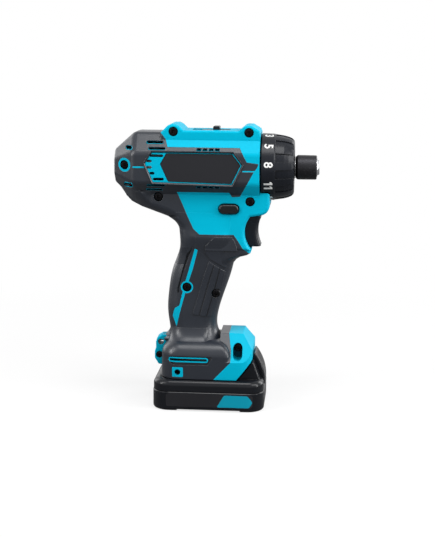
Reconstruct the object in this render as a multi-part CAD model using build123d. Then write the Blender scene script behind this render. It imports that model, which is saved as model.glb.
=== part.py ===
from build123d import *
import os
from math import acos, cos, pi, radians, sin, tan

# A compact cordless drill driver with a hex quick-change chuck and a slide-on battery.
# Millimetres. X points forward along the spindle, Y to the tool's left, Z up.
# The origin is on the floor, under the middle of the tool's length.

# Driving dimensions
LENGTH = 154.0
HEIGHT = 215.0
WIDTH = 66.0
REAR_X = -LENGTH / 2
NOSE_X = LENGTH / 2
AXIS_Z = 183.0
WALL = 2.8
SKIN = 1.6
PAD_RISE = 0.45
GROOVE_DEPTH = 0.9
GAP = 0.3

# Barrel that holds the motor and the gearbox: an eight-sided tube with a tapered tail
BARREL_HALF = 26.0
BARREL_FLAT_Y = 13.0
BARREL_FLAT_Z = 11.5
BARREL_CORNER = 6.0
BARREL_FRONT_X = 33.0
RIB_OUTER_R = 24.4
FRONT_BORE_R = 22.4
TAPER_X = -61.0
TAIL_HALF_Y = 12.0
TAIL_HALF_Z = 12.0
TAPER_INSET_SHARE = 0.41

# Top rail with the two upper screw towers
RAIL_HALF = 18.0
RAIL_TOP_Z = 210.5
TOWER_REAR_X = -31.6
TOWER_FRONT_X = 24.6

# Neck around the switch, with the trigger recess and the lamp nose
NECK_HALF = 18.5
NECK_TOP_Z = 172.0
NOSE_FRONT_X = 40.6

# Grip sections from top to bottom: height, back, front, half width, corner radius
GRIP_SECTIONS = (
    (136.0, -27.0, 16.0, 17.7, 12.0),
    (122.0, -26.8, 15.8, 18.4, 12.0),
    (110.0, -31.2, 13.2, 17.3, 12.5),
    (95.0, -35.0, 9.2, 16.6, 12.5),
    (80.0, -36.6, 4.1, 16.4, 12.5),
    (66.0, -35.9, 0.8, 16.6, 12.5),
    (56.0, -34.4, 1.8, 17.6, 12.5),
    (50.0, -35.0, 6.0, 20.5, 13.0),
    (45.0, -37.0, 12.0, 25.5, 14.0),
)

# Guard under the trigger, from bottom to top: height, front, half width, corner radius
GUARD_SECTIONS = (
    (104.0, 11.4, 16.7, 12.0),
    (110.4, 13.6, 17.1, 11.0),
    (113.6, 16.0, 17.3, 10.0),
    (115.8, 19.4, 17.5, 9.0),
    (117.2, 24.4, 17.6, 8.0),
    (118.6, 26.6, 17.7, 8.0),
    (122.4, 27.2, 17.9, 8.0),
)

# Foot that takes the battery
FOOT_REAR_X = -39.9
FOOT_FRONT_X = 29.5
FOOT_JOIN_X = 13.0
FOOT_HALF = 29.5
FOOT_BASE_Z = 24.0
FOOT_TOP_Z = 52.0
FOOT_CORNER = 14.0
FOOT_ROUND = 11.0
BLOCK_REAR_X = 4.6
BLOCK_SIDE_Z = 37.6
BLOCK_TOP_HALF = 14.0
BLOCK_TOP_Z = 57.0
RAMP_FOOT_X = 17.8
RAMP_TOP_X = 28.5
RAMP_TOP_Z = 37.4

# Housing screws: place in side view and the depth of the head's seat
SCREW_SEATS = {
    "tail": (-67.8, 184.6, -14.5),
    "rear_tower": (TOWER_REAR_X, 209.6, -15.5),
    "front_tower": (TOWER_FRONT_X, 209.4, -15.5),
    "belly": (-42.5, 161.0, -15.8),
    "nose": (26.1, 158.4, -15.8),
    "grip_back": (-21.0, 92.4, -13.6),
    "grip_front": (1.1, 87.9, -13.6),
    "foot": (18.3, 46.4, -14.0),
    "lug": (-43.2, 36.9, -3.4),
}
SCREW_HEAD_R = 3.2
LUG_HEAD_R = 2.4
SCREW_HEAD_H = 2.2
SCREW_R = 1.5
SCREW_LENGTH = 18.0
LUG_SCREW_LENGTH = 7.0
FOOT_POCKET_X = 18.5
FOOT_POCKET_Z = 44.8
BOSS_R = 3.8

# Lanyard lug behind the foot
LUG_HALF = 6.0
LANYARD_X = -42.1
LANYARD_Z = 47.0
LANYARD_R = 2.3

# Belt hook seat on each side of the foot
HOOK_X = -26.6
HOOK_Z = 29.3
HOOK_THREAD_R = 1.65
HOOK_NUT_R = 3.0
HOOK_NUT_DEPTH = 6.0
HOOK_SLOT_X = -18.5
HOOK_SLOT_Z = 38.9

# Planetary gearing, three stages of the same teeth
MODULE = 0.75
SUN_TEETH = 15
PLANET_TEETH = 12
RING_TEETH = SUN_TEETH + 2 * PLANET_TEETH
PRESSURE_ANGLE = radians(20)
BACKLASH = 0.14
ORBIT_R = MODULE * (SUN_TEETH + PLANET_TEETH) / 2
PLANETS = 3
PIN_R = 1.5
RING_OUTER_R = 18.2
CASE_INNER_R = 18.3
CASE_OUTER_R = 20.4

# Clutch ring and hex chuck
RING_REAR_X = 33.6
RING_FRONT_X = 58.2
RING_GROOVES = 12
RING_GROOVE_WIDTH = 6.6
NECK_TUBE_R = 13.0
SPINDLE_R = 6.5
HEX_FLATS = 6.5
HEX_DEPTH = 26.0
SLEEVE_REAR_X = 59.0
SLEEVE_FRONT_X = 75.0
SLEEVE_R = 9.2

# Battery
PACK_REAR_X = -46.0
PACK_FRONT_X = 38.8
PACK_HALF = WIDTH / 2
PACK_SEAM_Z = 15.0
PACK_TOP_Z = 23.6
PACK_CORNER = 13.0
CELL_R = 9.1
CELL_LENGTH = 65.0

TAU = 2 * pi


# Drawing helpers

def closed(*points):
    """A flat face inside a closed run of straight lines."""
    return make_face(Polyline(*points, close=True))


def side_prism(face, half):
    """Extrudes a face drawn in side view (X, Z) to both sides of the middle plane."""
    return extrude(Plane.XZ * face, half, both=True)


def side_cut(face, y_from, y_to):
    """Extrudes a face drawn in side view between two values of Y."""
    return extrude(Plane.XZ.offset(-y_to) * face, y_to - y_from)


def axial(face, x_from, x_to):
    """Extrudes a face drawn about the spindle axis, as (Y, Z), between two values of X."""
    return extrude(Plane.YZ.offset(x_from) * Pos(0, AXIS_Z) * face, x_to - x_from)


def turned(*points):
    """Turns an outline of (x, radius) points about the spindle axis."""
    outline = Plane.XZ * Pos(0, AXIS_Z) * closed(*points)
    return revolve(outline, Axis((0, 0, AXIS_Z), (1, 0, 0)))


def tube(x_from, x_to, r_in, r_out):
    """A ring about the spindle axis."""
    return turned((x_from, r_in), (x_to, r_in), (x_to, r_out), (x_from, r_out))


def rod(x_from, x_to, radius):
    """A plain cylinder on the spindle axis."""
    return axial(Circle(radius), x_from, x_to)


def cross_rod(x, z, radius, y_from, y_to):
    """A cylinder that lies across the tool, along Y."""
    return side_cut(Pos(x, z) * Circle(radius), y_from, y_to)


def block(x_from, x_to, y_from, y_to, z_from, z_to):
    """A box between two corners."""
    size = (x_to - x_from, y_to - y_from, z_to - z_from)
    return Pos((x_from + x_to) / 2, (y_from + y_to) / 2, (z_from + z_to) / 2) * Box(*size)


def right_half(solid):
    """The part of a solid on the tool's right, where Y is negative."""
    return split(solid, Plane.XZ, keep=Keep.TOP)


def around_axis(solid, count, start=0.0):
    """Copies a solid evenly about the spindle axis."""
    axis = Axis((0, 0, AXIS_Z), (1, 0, 0))
    return [solid.rotate(axis, start + 360 * i / count) for i in range(count)]


# Housing forms. Each takes an inset, so that one recipe gives the outside, the layer
# under the soft grip cover, and the hollow.

def barrel_section(x, half_y, half_z, inset, corner):
    flat_y = BARREL_FLAT_Y * half_y / BARREL_HALF
    flat_z = BARREL_FLAT_Z * half_z / BARREL_HALF
    quarter = [(half_y, flat_z), (flat_y, half_z)]
    points = quarter + [(-y, z) for y, z in reversed(quarter)]
    points += [(-y, -z) for y, z in points]
    face = closed(*points)
    if inset:
        face = offset(face, -inset, kind=Kind.INTERSECTION)
    return Plane.YZ.offset(x) * Pos(0, AXIS_Z) * fillet(face.vertices(), corner)


def barrel(inset=0.0):
    taper_x = TAPER_X + TAPER_INSET_SHARE * inset
    full = barrel_section(taper_x, BARREL_HALF, BARREL_HALF, inset, BARREL_CORNER - inset)
    tail = barrel_section(
        REAR_X + inset, TAIL_HALF_Y, TAIL_HALF_Z, TAPER_INSET_SHARE * inset, 2.5
    )
    solid = extrude(full, BARREL_FRONT_X - taper_x) + loft([tail, full], ruled=True)
    if not inset:
        shoulder = [e for e in solid.edges() if e.bounding_box().size.X < 0.1]
        shoulder = [e for e in shoulder if abs(e.center().X - TAPER_X) < 0.1]
        solid = fillet(shoulder, 7.0)
        end = [e for e in solid.edges() if abs(e.center().X - REAR_X) < 0.1]
        solid = fillet(end, 4.0)
    return solid


def top_rail():
    """The raised rail over the gearbox, with a screw tower at each end."""
    outline = closed(
        (-42.0, 203.4), (-41.0, 208.8), (-36.0, 213.9), (-33.6, HEIGHT), (-30.0, HEIGHT),
        (-27.6, 213.9), (-24.0, RAIL_TOP_Z), (17.0, RAIL_TOP_Z), (20.8, 213.8), (22.4, 214.4),
        (26.6, 214.4), (32.2, 211.0), (BARREL_FRONT_X, 209.0), (BARREL_FRONT_X, 196.0), (-38.5, 196.0),
    )
    rail = side_prism(outline, RAIL_HALF)
    top = [e for e in rail.edges() if abs(abs(e.center().Y) - RAIL_HALF) < 0.1]
    top = [e for e in top if e.center().Z > 206 and e.center().X < BARREL_FRONT_X - 0.3]
    return fillet(top, 1.6)


def neck(inset=0.0):
    """The slab between barrel and grip, with the trigger recess in front."""
    with BuildSketch() as drawing:
        with BuildLine():
            Polyline((BARREL_FRONT_X, NECK_TOP_Z), (-52, NECK_TOP_Z), (-70, 160.2))
            Polyline((-70, 160.2), (-55.5, 152.8), (-37, 146.2))
            ThreePointArc((-37, 146.2), (-29.0, 140.2), (-25.9, 131.5))
            Polyline((-25.9, 131.5), (-24.0, 121.0), (14.0, 121.0), (27.0, 121.6))
            ThreePointArc((27.0, 121.6), (22.0, 134.5), (26.2, 146.8))
            Line((26.2, 146.8), (35.0, 148.2))
            ThreePointArc((35.0, 148.2), (39.0, 150.8), (NOSE_FRONT_X, 155.0))
            Polyline((NOSE_FRONT_X, 155.0), (NOSE_FRONT_X, NECK_TOP_Z), (BARREL_FRONT_X, NECK_TOP_Z))
        make_face()
    face = drawing.sketch
    if inset:
        face = offset(face, -inset, kind=Kind.INTERSECTION)
    half = NECK_HALF - inset
    slab = side_prism(face, half)
    rim = [e for e in slab.edges() if abs(abs(e.center().Y) - half) < 0.1]
    back = [e for e in rim if -70 < e.center().X < -23.0 + inset and 128 < e.center().Z < 171]
    slab = fillet(back, 7.0 - inset)
    if not inset:
        rim = [e for e in slab.edges() if abs(abs(e.center().Y) - half) < 0.1]
        front = [e for e in rim if e.center().X > 14.5 and 109 < e.center().Z < 160]
        slab = fillet(front, 2.2)
    slope = closed((-62.8, 156.3), (-72.8, 165.8), (-95, 170), (-95, 130), (-62.8, 130))
    slab -= side_prism(Pos(0.8 * inset, 0.8 * inset) * slope, WIDTH)
    plan = closed((60, 40), (-30, 40), (-30, 25.2), (-80, 5.5), (-80, -5.5), (-30, -25.2), (-30, -40), (60, -40))
    if inset:
        plan = offset(plan, -inset, kind=Kind.INTERSECTION)
    return slab & extrude(Plane.XY.offset(100.0) * plan, 80.0)


def guard(inset=0.0):
    """The swelling of the grip under the trigger."""
    sections = []
    for z, front, half, corner in GUARD_SECTIONS:
        plan = RectangleRounded(front + 14.0 - inset, 2 * (half - inset), corner - inset)
        sections.append(Plane.XY.offset(z + 0.6 * inset) * Pos((front - inset - 14.0) / 2, 0) * plan)
    return loft(sections, ruled=True)


def grip(inset=0.0):
    sections = []
    for z, back, front, half, corner in GRIP_SECTIONS:
        plan = RectangleRounded(front - back - 2 * inset, 2 * (half - inset), corner - inset)
        sections.append(Plane.XY.offset(z) * Pos((front + back) / 2, 0) * plan)
    return loft(sections)


def foot(inset=0.0):
    """The foot over the battery: a rounded box, and a block with leaning sides in front."""
    base = Plane.XY.offset(FOOT_BASE_Z)
    outline = Pos((FOOT_REAR_X + FOOT_JOIN_X) / 2, 0) * Rectangle(
        FOOT_JOIN_X - FOOT_REAR_X - 2 * inset, 2 * (FOOT_HALF - inset)
    )
    rear = [v for v in outline.vertices() if v.X < 0]
    plan = fillet(rear, FOOT_CORNER - inset)
    plan = fillet([v for v in plan.vertices() if v.X > FOOT_JOIN_X - inset - 0.1], 4.0)
    box = extrude(base * plan, FOOT_TOP_Z - FOOT_BASE_Z - inset)
    box = fillet(box.edges().group_by(Axis.Z)[-1], FOOT_ROUND - inset)
    end = closed(
        (-FOOT_HALF, 10.0), (FOOT_HALF, 10.0), (FOOT_HALF, BLOCK_SIDE_Z), (BLOCK_TOP_HALF, BLOCK_TOP_Z),
        (-BLOCK_TOP_HALF, BLOCK_TOP_Z), (-FOOT_HALF, BLOCK_SIDE_Z),
    )
    if inset:
        end = offset(end, -inset, kind=Kind.INTERSECTION)
    leaning = extrude(Plane.YZ.offset(BLOCK_REAR_X + inset) * end, FOOT_FRONT_X - BLOCK_REAR_X - 2 * inset)
    length = FOOT_FRONT_X - FOOT_REAR_X - 2 * inset
    plan = RectangleRounded(length, 2 * (FOOT_HALF - inset), 9.0 - inset)
    upright = extrude(base * Pos((FOOT_FRONT_X + FOOT_REAR_X) / 2, 0) * plan, 60.0)
    slope = closed((22.0, BLOCK_TOP_Z), (FOOT_FRONT_X, 46.0), (50, 46.0), (50, 80), (22.0, 80))
    nose_cut = side_prism(Pos(-0.9 * inset, -0.45 * inset) * slope, WIDTH)
    return box + ((leaning & upright) - nose_cut)


def battery_ramp(lift=0.0):
    """The wedge cut off the foot's lower front corner, where the battery's hump stands."""
    run = RAMP_TOP_X - RAMP_FOOT_X
    rise = RAMP_TOP_Z - FOOT_BASE_Z
    far = 12.0
    return side_prism(
        closed(
            (RAMP_FOOT_X, FOOT_BASE_Z - lift),
            (RAMP_FOOT_X + run + far, FOOT_BASE_Z + rise * (1 + far / run) - lift),
            (RAMP_FOOT_X + run + far, FOOT_BASE_Z - far),
            (RAMP_FOOT_X - far * run / rise, FOOT_BASE_Z - far - lift),
        ),
        WIDTH,
    )


def housing_form(inset=0.0):
    """The whole outside of the housing, drawn in by an inset."""
    solid = barrel(inset) + neck(inset) + grip(inset) + guard(inset) + foot(inset)
    if not inset:
        solid += top_rail()
    clutch_room = rod(BARREL_FRONT_X - inset, NOSE_X, BARREL_HALF - 0.2 + inset)
    return solid - clutch_room - battery_ramp(-inset)


# Soft grip cover: the region it takes in side view, and the windows cut in it

def cover_region():
    region = closed(
        (-90, 230), (-42.4, 230), (-41.0, 208.8), (-37.4, 204.2), (-35.2, 198.4),
        (18.2, 198.4), (23.6, 188.2), (32.4, 187.0), (31.4, 184.6), (28.8, 180.8),
        (18.6, 162.1), (12.7, 161.6), (10.4, 165.0), (-28.6, 165.0), (-24.5, 156.0),
        (-20.7, 147.0), (-16.1, 137.3), (-11.5, 133.2), (14.1, 133.2), (17.2, 128.9),
        (21.0, 122.9), (24.8, 119.5), (32, 112), (32, 68), (11.2, 68), (11.2, 57.0), (13.3, 46.0), (13.3, 37.6),
        (-0.5, 23.0), (-90, 23.0),
    )
    plate_window = closed(
        (-51.6, 186.4), (-46.4, 194.6), (13.2, 194.6), (20.0, 185.9), (12.8, 171.4), (-45.7, 172.6),
    )
    arrow_line = closed((20.4, 181.0), (29.5, 181.0), (30.1, 182.0), (20.4, 182.0))
    stripe = closed(
        (-12.8, 121.2), (-15.0, 122.3), (-19.2, 107.2), (-22.4, 95.8), (-24.8, 86.4), (-26.7, 78.2),
        (-30.6, 75.4), (-32.1, 69.6), (-28.8, 61.6), (-25.6, 75.3), (-22.6, 86.4), (-20.0, 95.8), (-16.4, 107.0),
    )
    hook_square = Pos(HOOK_X, HOOK_Z) * RectangleRounded(8.4, 7.6, 0.8)
    hook_slot = Pos(HOOK_SLOT_X, HOOK_SLOT_Z) * SlotOverall(30.2, 3.8)
    for window in (plate_window, arrow_line, stripe, hook_square, hook_slot):
        region -= window
    for name, radius in (("grip_back", 4.7), ("tail", 5.2)):
        x, z, seat = SCREW_SEATS[name]
        region -= Pos(x, z) * Circle(radius)
    return region


def vent_slots():
    """Air slots in the side of the barrel, cut through cover and shell."""
    slots = []
    places = (
        (-44.9, 201.6, 13.0, 2.3), (-43.1, 197.2, 13.0, 2.1), (-43.1, 192.2, 10.2, 2.0),
        (-41.6, 174.9, 8.2, 2.0), (-43.5, 170.2, 13.8, 1.8), (-45.2, 166.8, 12.4, 1.6),
        (-48.6, 188.2, 4.0, 2.0), (-48.5, 183.6, 4.0, 2.0), (-46.4, 179.2, 3.8, 2.0),
        (-64.4, 197.4, 6.2, 3.3), (-65.0, 169.8, 8.4, 4.0),
    )
    for x, z, length, height in places:
        slots.append(side_cut(Pos(x, z) * SlotOverall(length, height), -30.0, -9.0 if x < -60 else -13.0))
    for i in range(4):
        for z in (196.8, 169.2):
            cell = Pos(-11.8 + 4.5 * i, z) * RectangleRounded(3.7, 1.9, 0.5)
            slots.append(side_cut(cell, -30.0, -20.0))
    return slots


def side_openings():
    """Holes in the side of the housing for the reversing lever and the belt hook."""
    lever = side_cut(Pos(10.3, 152.7) * SlotOverall(16.0, 8.2), -30.0, -10.0)
    slot = side_cut(Pos(HOOK_SLOT_X, HOOK_SLOT_Z) * SlotOverall(28.4, 2.0), -30.0, -20.0)
    return [lever, slot]


def locating_ribs():
    """Inner rings that hold the motor and the gear case in the barrel, and a rib for the switch."""
    return [
        tube(-57.0, -54.6, 18.0, RIB_OUTER_R),
        tube(-22.0, -19.6, 18.0, RIB_OUTER_R),
        tube(11.2, 13.7, CASE_OUTER_R, RIB_OUTER_R),
        tube(16.3, 18.8, CASE_OUTER_R, RIB_OUTER_R),
        block(-11.0, -8.8, -30.0, -9.1, 124.0, 146.0),
    ]


def battery_flanges():
    """The inward ledges under the foot that carry the battery's rails."""
    return [
        block(-36.0, 17.0, -28.0, -20.0, FOOT_BASE_Z, 26.4),
        block(-37.0, -31.0, -28.0, 0.0, FOOT_BASE_Z, 26.4),
    ]


def screw_bosses():
    posts = []
    for name, (x, z, seat) in SCREW_SEATS.items():
        if name == "lug":
            continue
        posts.append(cross_rod(x, z, BOSS_R, -40.0, 0.0))
    return posts + [foot_pocket(2.8)]


def lanyard_lug():
    outline = closed(
        (-36.6, 52.6), (-41.4, 52.4), (-45.0, 50.2), (-46.0, 46.8), (-45.9, 42.6), (-46.9, 39.6),
        (-46.9, 34.2), (-44.0, 29.4), (-36.6, 28.4),
    )
    corners = [v for v in outline.vertices() if v.X < -40]
    lug = side_cut(fillet(corners, 1.2), -LUG_HALF, 0.0)
    rim = [e for e in lug.edges() if abs(e.center().Y + LUG_HALF) < 0.1 and e.center().X < -36.9]
    return chamfer(rim, 0.6)


def head_radius(name):
    return LUG_HEAD_R if name == "lug" else SCREW_HEAD_R


def foot_pocket(margin=0.0):
    """The tall pocket in the leaning side of the foot's block, over its screw."""
    slot = SlotOverall(12.0 + margin, 7.1 + margin, rotation=90)
    return side_cut(Pos(FOOT_POCKET_X, FOOT_POCKET_Z) * slot, -40.0, SCREW_SEATS["foot"][2] + margin)


def screw_clearances():
    """Head pockets and shank holes in the right half."""
    cuts = [foot_pocket()]
    for name, (x, z, seat) in SCREW_SEATS.items():
        cuts.append(cross_rod(x, z, head_radius(name) + 0.35, -40.0, seat))
        cuts.append(cross_rod(x, z, SCREW_R + 0.2, seat - 1.0, 1.0))
    return cuts


def screw_pilots():
    """Blind holes in the left half that the screws bite into."""
    cuts = []
    for name, (x, z, seat) in SCREW_SEATS.items():
        length = LUG_SCREW_LENGTH if name == "lug" else SCREW_LENGTH
        cuts.append(cross_rod(x, z, SCREW_R, -1.0, seat + length + 0.3))
    return cuts


def grip_pads():
    """Flat pads that stand proud of the grip's side: one under the thumb and three long ribs."""
    thumb = closed(
        (-0.6, 131.4), (-6.8, 124.3), (-7.5, 119.4), (-3.9, 114.7), (8.4, 107.4), (13.0, 110.5),
        (15.2, 114.5), (17.0, 121.5), (15.3, 127.6), (12.9, 131.4),
    )
    left_edge = (Vector(-4.4, 112.4), Vector(-9.4, 97.3), Vector(-16.4, 71.4))
    right_edge = (Vector(7.8, 104.8), Vector(5.4, 93.3), Vector(-1.3, 69.2))
    outlines = [thumb]
    for near, far in ((0.0, 0.29), (0.355, 0.645), (0.71, 1.0)):
        side = [a + (b - a) * near for a, b in zip(left_edge, right_edge)]
        other = [a + (b - a) * far for a, b in zip(left_edge, right_edge)]
        outlines.append(closed(*[(v.X, v.Y) for v in side + other[::-1]]))
    raised = right_half(grip(-PAD_RISE))
    neck_side = block(-30.0, 30.0, -NECK_HALF - PAD_RISE, -10.0, 121.0, 134.0)
    return [raised & side_cut(o, -40.0, -4.0) for o in outlines] + [neck_side & side_cut(thumb, -40.0, -4.0)]


def grip_groove():
    """The groove in the cover behind the stripe of the grip."""
    line = closed(
        (-16.6, 124.0), (-18.4, 123.0), (-23.4, 109.2), (-28.4, 90.6), (-28.2, 87.2), (-26.8, 88.6),
        (-26.9, 91.2), (-22.0, 108.8),
    )
    return side_cut(line, -40.0, -4.0) - grip(GROOVE_DEPTH) - neck(GROOVE_DEPTH)


def hook_recess():
    """The shallow recess round the belt hook's slot."""
    line = closed((-34.2, 38.9), (-31.8, 41.4), (-0.5, 41.4), (-3.6, 34.9), (-30.2, 34.9))
    return side_cut(line, -40.0, -4.0) - foot(GROOVE_DEPTH)


def housing():
    """Both housing halves and both soft covers."""
    outer = right_half(housing_form()) + grip_pads()
    core = right_half(housing_form(SKIN))
    hollow = right_half(housing_form(WALL))
    cover = (outer - core) & side_cut(cover_region(), -60.0, 0.0)
    body = outer - cover
    inner = locating_ribs() + battery_flanges() + screw_bosses()
    shell = (body - hollow) + [piece & body for piece in inner]
    hook_post = cross_rod(HOOK_X, HOOK_Z, 4.8, -28.2, -20.4) & body
    lug = lanyard_lug()
    shell = shell + hook_post + lug
    cover = cover - lug - grip_groove() - (hook_recess() - side_cut(
        Pos(HOOK_SLOT_X, HOOK_SLOT_Z) * SlotOverall(30.2, 3.8), -40.0, 0.0
    ))
    plate_seat = side_cut(offset(nameplate_outline(), 0.25), -30.0, -BARREL_HALF + SKIN)
    trigger_window = block(13.0, 32.0, -8.6, 8.6, 122.2, 147.6)
    lamp_window = block(34.0, 42.0, -4.3, 4.3, 150.5, 155.7)
    lever_recess = block(-18.6, 9.4, -6.7, 6.7, 208.7, 220.0)
    lever_slot = block(-9.6, 3.2, -2.6, 2.6, 200.0, 210.0)
    battery_way = block(10.0, 45.0, -23.5, 23.5, 20.0, 34.4) + block(-30.9, 18.0, -20.0, 20.0, 20.0, 27.0)
    hook_bore = cross_rod(HOOK_X, HOOK_Z, HOOK_NUT_R, -27.9, -27.9 + HOOK_NUT_DEPTH)
    hook_mouth = cross_rod(HOOK_X, HOOK_Z, 2.2, -40.0, -27.0)
    lanyard = cross_rod(LANYARD_X, LANYARD_Z, LANYARD_R, -20.0, 1.0)
    cuts = vent_slots() + side_openings()
    cuts += [trigger_window, lamp_window, lever_recess, lever_slot, battery_way]
    gearbox_mouth = rod(28.0, 36.0, FRONT_BORE_R)
    cuts += [hook_bore, hook_mouth, lanyard, gearbox_mouth]
    shell = shell - cuts
    cover = cover - cuts
    left_shell = mirror(shell, Plane.XZ) - screw_pilots()
    left_cover = mirror(cover, Plane.XZ)
    right_cuts = screw_clearances() + [plate_seat]
    return shell - right_cuts, left_shell, cover - right_cuts, left_cover


def housing_screws():
    screws = []
    for name, (x, z, seat) in SCREW_SEATS.items():
        length = LUG_SCREW_LENGTH if name == "lug" else SCREW_LENGTH
        head = cross_rod(x, z, head_radius(name), seat - SCREW_HEAD_H, seat)
        head = fillet(head.edges().group_by(Axis.Y)[0], 0.5)
        drive = Pos(x, z) * (Rectangle(3.4, 0.8) + Rectangle(0.8, 3.4))
        head -= side_cut(drive, seat - SCREW_HEAD_H - 1.0, seat - 0.8)
        screws.append(head + cross_rod(x, z, SCREW_R, seat - 0.5, seat + length))
    return screws


def nameplate_outline():
    outline = closed(
        (-40.2, 186.1), (-35.8, 193.8), (12.7, 193.8), (19.0, 185.9), (12.3, 172.3), (-34.4, 173.3),
    )
    return fillet(outline.vertices(), 1.2)


def nameplate():
    """A bare plate let into the right side of the barrel."""
    return side_cut(nameplate_outline(), -BARREL_HALF + 0.4, -BARREL_HALF + SKIN)


def hook_nuts():
    nut = cross_rod(HOOK_X, HOOK_Z, HOOK_NUT_R, -27.9, -27.9 + HOOK_NUT_DEPTH)
    nut -= cross_rod(HOOK_X, HOOK_Z, HOOK_THREAD_R, -40.0, 0.0)
    return [nut, mirror(nut, Plane.XZ)]


def lamp_lens(outer):
    return outer & block(34.6, 42.0, -4.1, 4.1, 150.7, 155.5)


def lamp_board():
    chip = block(33.0, 34.2, -1.2, 1.2, 151.6, 153.8)
    return block(31.2, 33.0, -5.0, 5.0, 150.95, 154.1) + chip


# Controls

TRIGGER_TRAVEL = 6.5
SWITCH_FRONT_X = 8.0


def trigger():
    with BuildSketch() as drawing:
        with BuildLine():
            Polyline((34.6, 123.2), (17.0, 122.9), (17.0, 146.5), (34.6, 146.5))
            ThreePointArc((34.6, 146.5), (31.6, 134.8), (34.6, 123.2))
        make_face()
    body = side_prism(drawing.sketch, 8.0)
    rim = [e for e in body.edges() if abs(abs(e.center().Y) - 8.0) < 0.1 and e.center().X > 30]
    body = fillet(rim, 3.2)
    tips = [e for e in body.edges() if e.center().X > 33.5 and abs(e.center().Y) < 0.1]
    body = fillet(tips, 0.9)
    body -= block(10.0, 24.0, -6.2, 6.2, 125.4, 144.4)
    stem = extrude(Plane.YZ.offset(3.0) * Pos(0, 135.0) * Circle(2.4), 22.0)
    return body + stem


def trigger_spring():
    return axial_spring(SWITCH_FRONT_X, 24.0, 3.6, 0.45, 6, 135.0)


def switch_body():
    case = block(-16.0, SWITCH_FRONT_X, -9.0, 9.0, 122.6, 147.4)
    case = fillet(case.edges().filter_by(Axis.Y), 1.5)
    return case - extrude(Plane.YZ.offset(-6.0) * Pos(0, 135.0) * Circle(2.6), 20.0)


def reversing_lever():
    """A bar across the tool, pushed from either side."""
    face = Pos(10.3, 152.7) * SlotOverall(14.8, 7.0)
    bar = side_prism(face, 20.4)
    ends = [e for e in bar.edges() if abs(abs(e.center().Y) - 20.4) < 0.1]
    bar = fillet(ends, 1.2)
    waist = side_prism(Pos(10.3, 152.7) * Rectangle(18.0, 9.0), 11.0)
    return bar - (waist - side_prism(Pos(10.3, 152.7) * SlotOverall(10.0, 4.6), 12.0))


# Gear teeth

def tooth_outline(teeth, root_r, tip_r, play):
    """A toothed wheel's outline, with straight facets on each flank."""
    pitch_r = MODULE * teeth / 2
    base_r = pitch_r * cos(PRESSURE_ANGLE)
    pitch_half = pi / (2 * teeth) - play / (2 * pitch_r)

    def half_angle(radius):
        angle = acos(min(1.0, base_r / max(radius, base_r)))
        return pitch_half + tan(PRESSURE_ANGLE) - PRESSURE_ANGLE - tan(angle) + angle

    radii = (root_r, pitch_r, tip_r)
    points = []
    for i in range(teeth):
        middle = TAU * i / teeth
        flank = [(r, half_angle(r)) for r in radii]
        for r, half in flank:
            points.append((r * cos(middle - half), r * sin(middle - half)))
        for r, half in reversed(flank):
            points.append((r * cos(middle + half), r * sin(middle + half)))
    return closed(*points)


def outer_teeth(teeth, turn=0.0):
    pitch_r = MODULE * teeth / 2
    outline = tooth_outline(teeth, pitch_r - 1.15 * MODULE, pitch_r + 0.85 * MODULE, BACKLASH)
    return Rot(0, 0, turn) * outline


def ring_teeth_space():
    """The toothed hole of a ring gear, turned so that the planets mesh with it."""
    pitch_r = MODULE * RING_TEETH / 2
    outline = tooth_outline(RING_TEETH, pitch_r - 0.85 * MODULE, pitch_r + 1.15 * MODULE, -BACKLASH)
    return Rot(0, 0, 180.0 * (PLANET_TEETH - 1) / RING_TEETH) * outline


def planet(x_from, x_to, index):
    place = 360.0 * index / PLANETS
    turn = place * (1 + SUN_TEETH / PLANET_TEETH) + 180.0 - 180.0 / PLANET_TEETH
    face = outer_teeth(PLANET_TEETH, turn) - Circle(PIN_R + 0.04)
    centre = Pos(ORBIT_R * cos(radians(place)), ORBIT_R * sin(radians(place)))
    return axial(centre * face, x_from, x_to)


def planet_pins(x_from, x_to):
    pin = axial(Pos(ORBIT_R, 0) * Circle(PIN_R), x_from, x_to)
    return around_axis(pin, PLANETS)


def carrier(disc_from, disc_to, pin_from, sun_to):
    """A planet carrier with its pins behind and the next sun wheel in front."""
    solid = rod(disc_from, disc_to, 13.3)
    solid = solid + planet_pins(pin_from, disc_from + 0.5)
    return solid + axial(outer_teeth(SUN_TEETH), disc_to - 0.5, sun_to)


# Gearbox

def gear_case():
    case = tube(-10.8, 19.4, CASE_INNER_R, CASE_OUTER_R)
    case += tube(19.4, 21.9, 13.5, CASE_OUTER_R)
    case += tube(21.9, 22.6, 9.0, 14.4)
    case += tube(22.6, 56.0, 9.0, NECK_TUBE_R)
    case += tube(13.8, 16.2, CASE_OUTER_R - 0.5, 22.4)
    dogs = tube(6.2, 9.6, 17.3, 18.6) & axial(Pos(17.8, 0) * Rectangle(2.4, 4.6), 0.0, 12.0)
    case = case + around_axis(dogs, 6, 30.0)
    hole = axial(Pos(16.6, 0) * Circle(2.1), 19.0, 22.2)
    case = case - around_axis(hole, 6)
    fork_way = block(-2.8, 6.2, -22.0, 22.0, AXIS_Z - 1.0, AXIS_Z + 1.0)
    return case - fork_way


def gearbox_end_plate():
    return tube(-12.4, -10.8, 7.2, CASE_OUTER_R)


def ring_gear(x_from, x_to, outer_r):
    return axial(Circle(outer_r) - ring_teeth_space(), x_from, x_to)


def sliding_ring_gear():
    ring = ring_gear(2.5, 9.0, 17.0) - tube(4.1, 5.9, 16.2, 18.0)
    lug = tube(6.8, 9.0, 16.8, 18.0) & axial(Pos(17.4, 0) * Rectangle(2.4, 4.6), 0.0, 12.0)
    return ring + around_axis(lug, 6)


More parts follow.
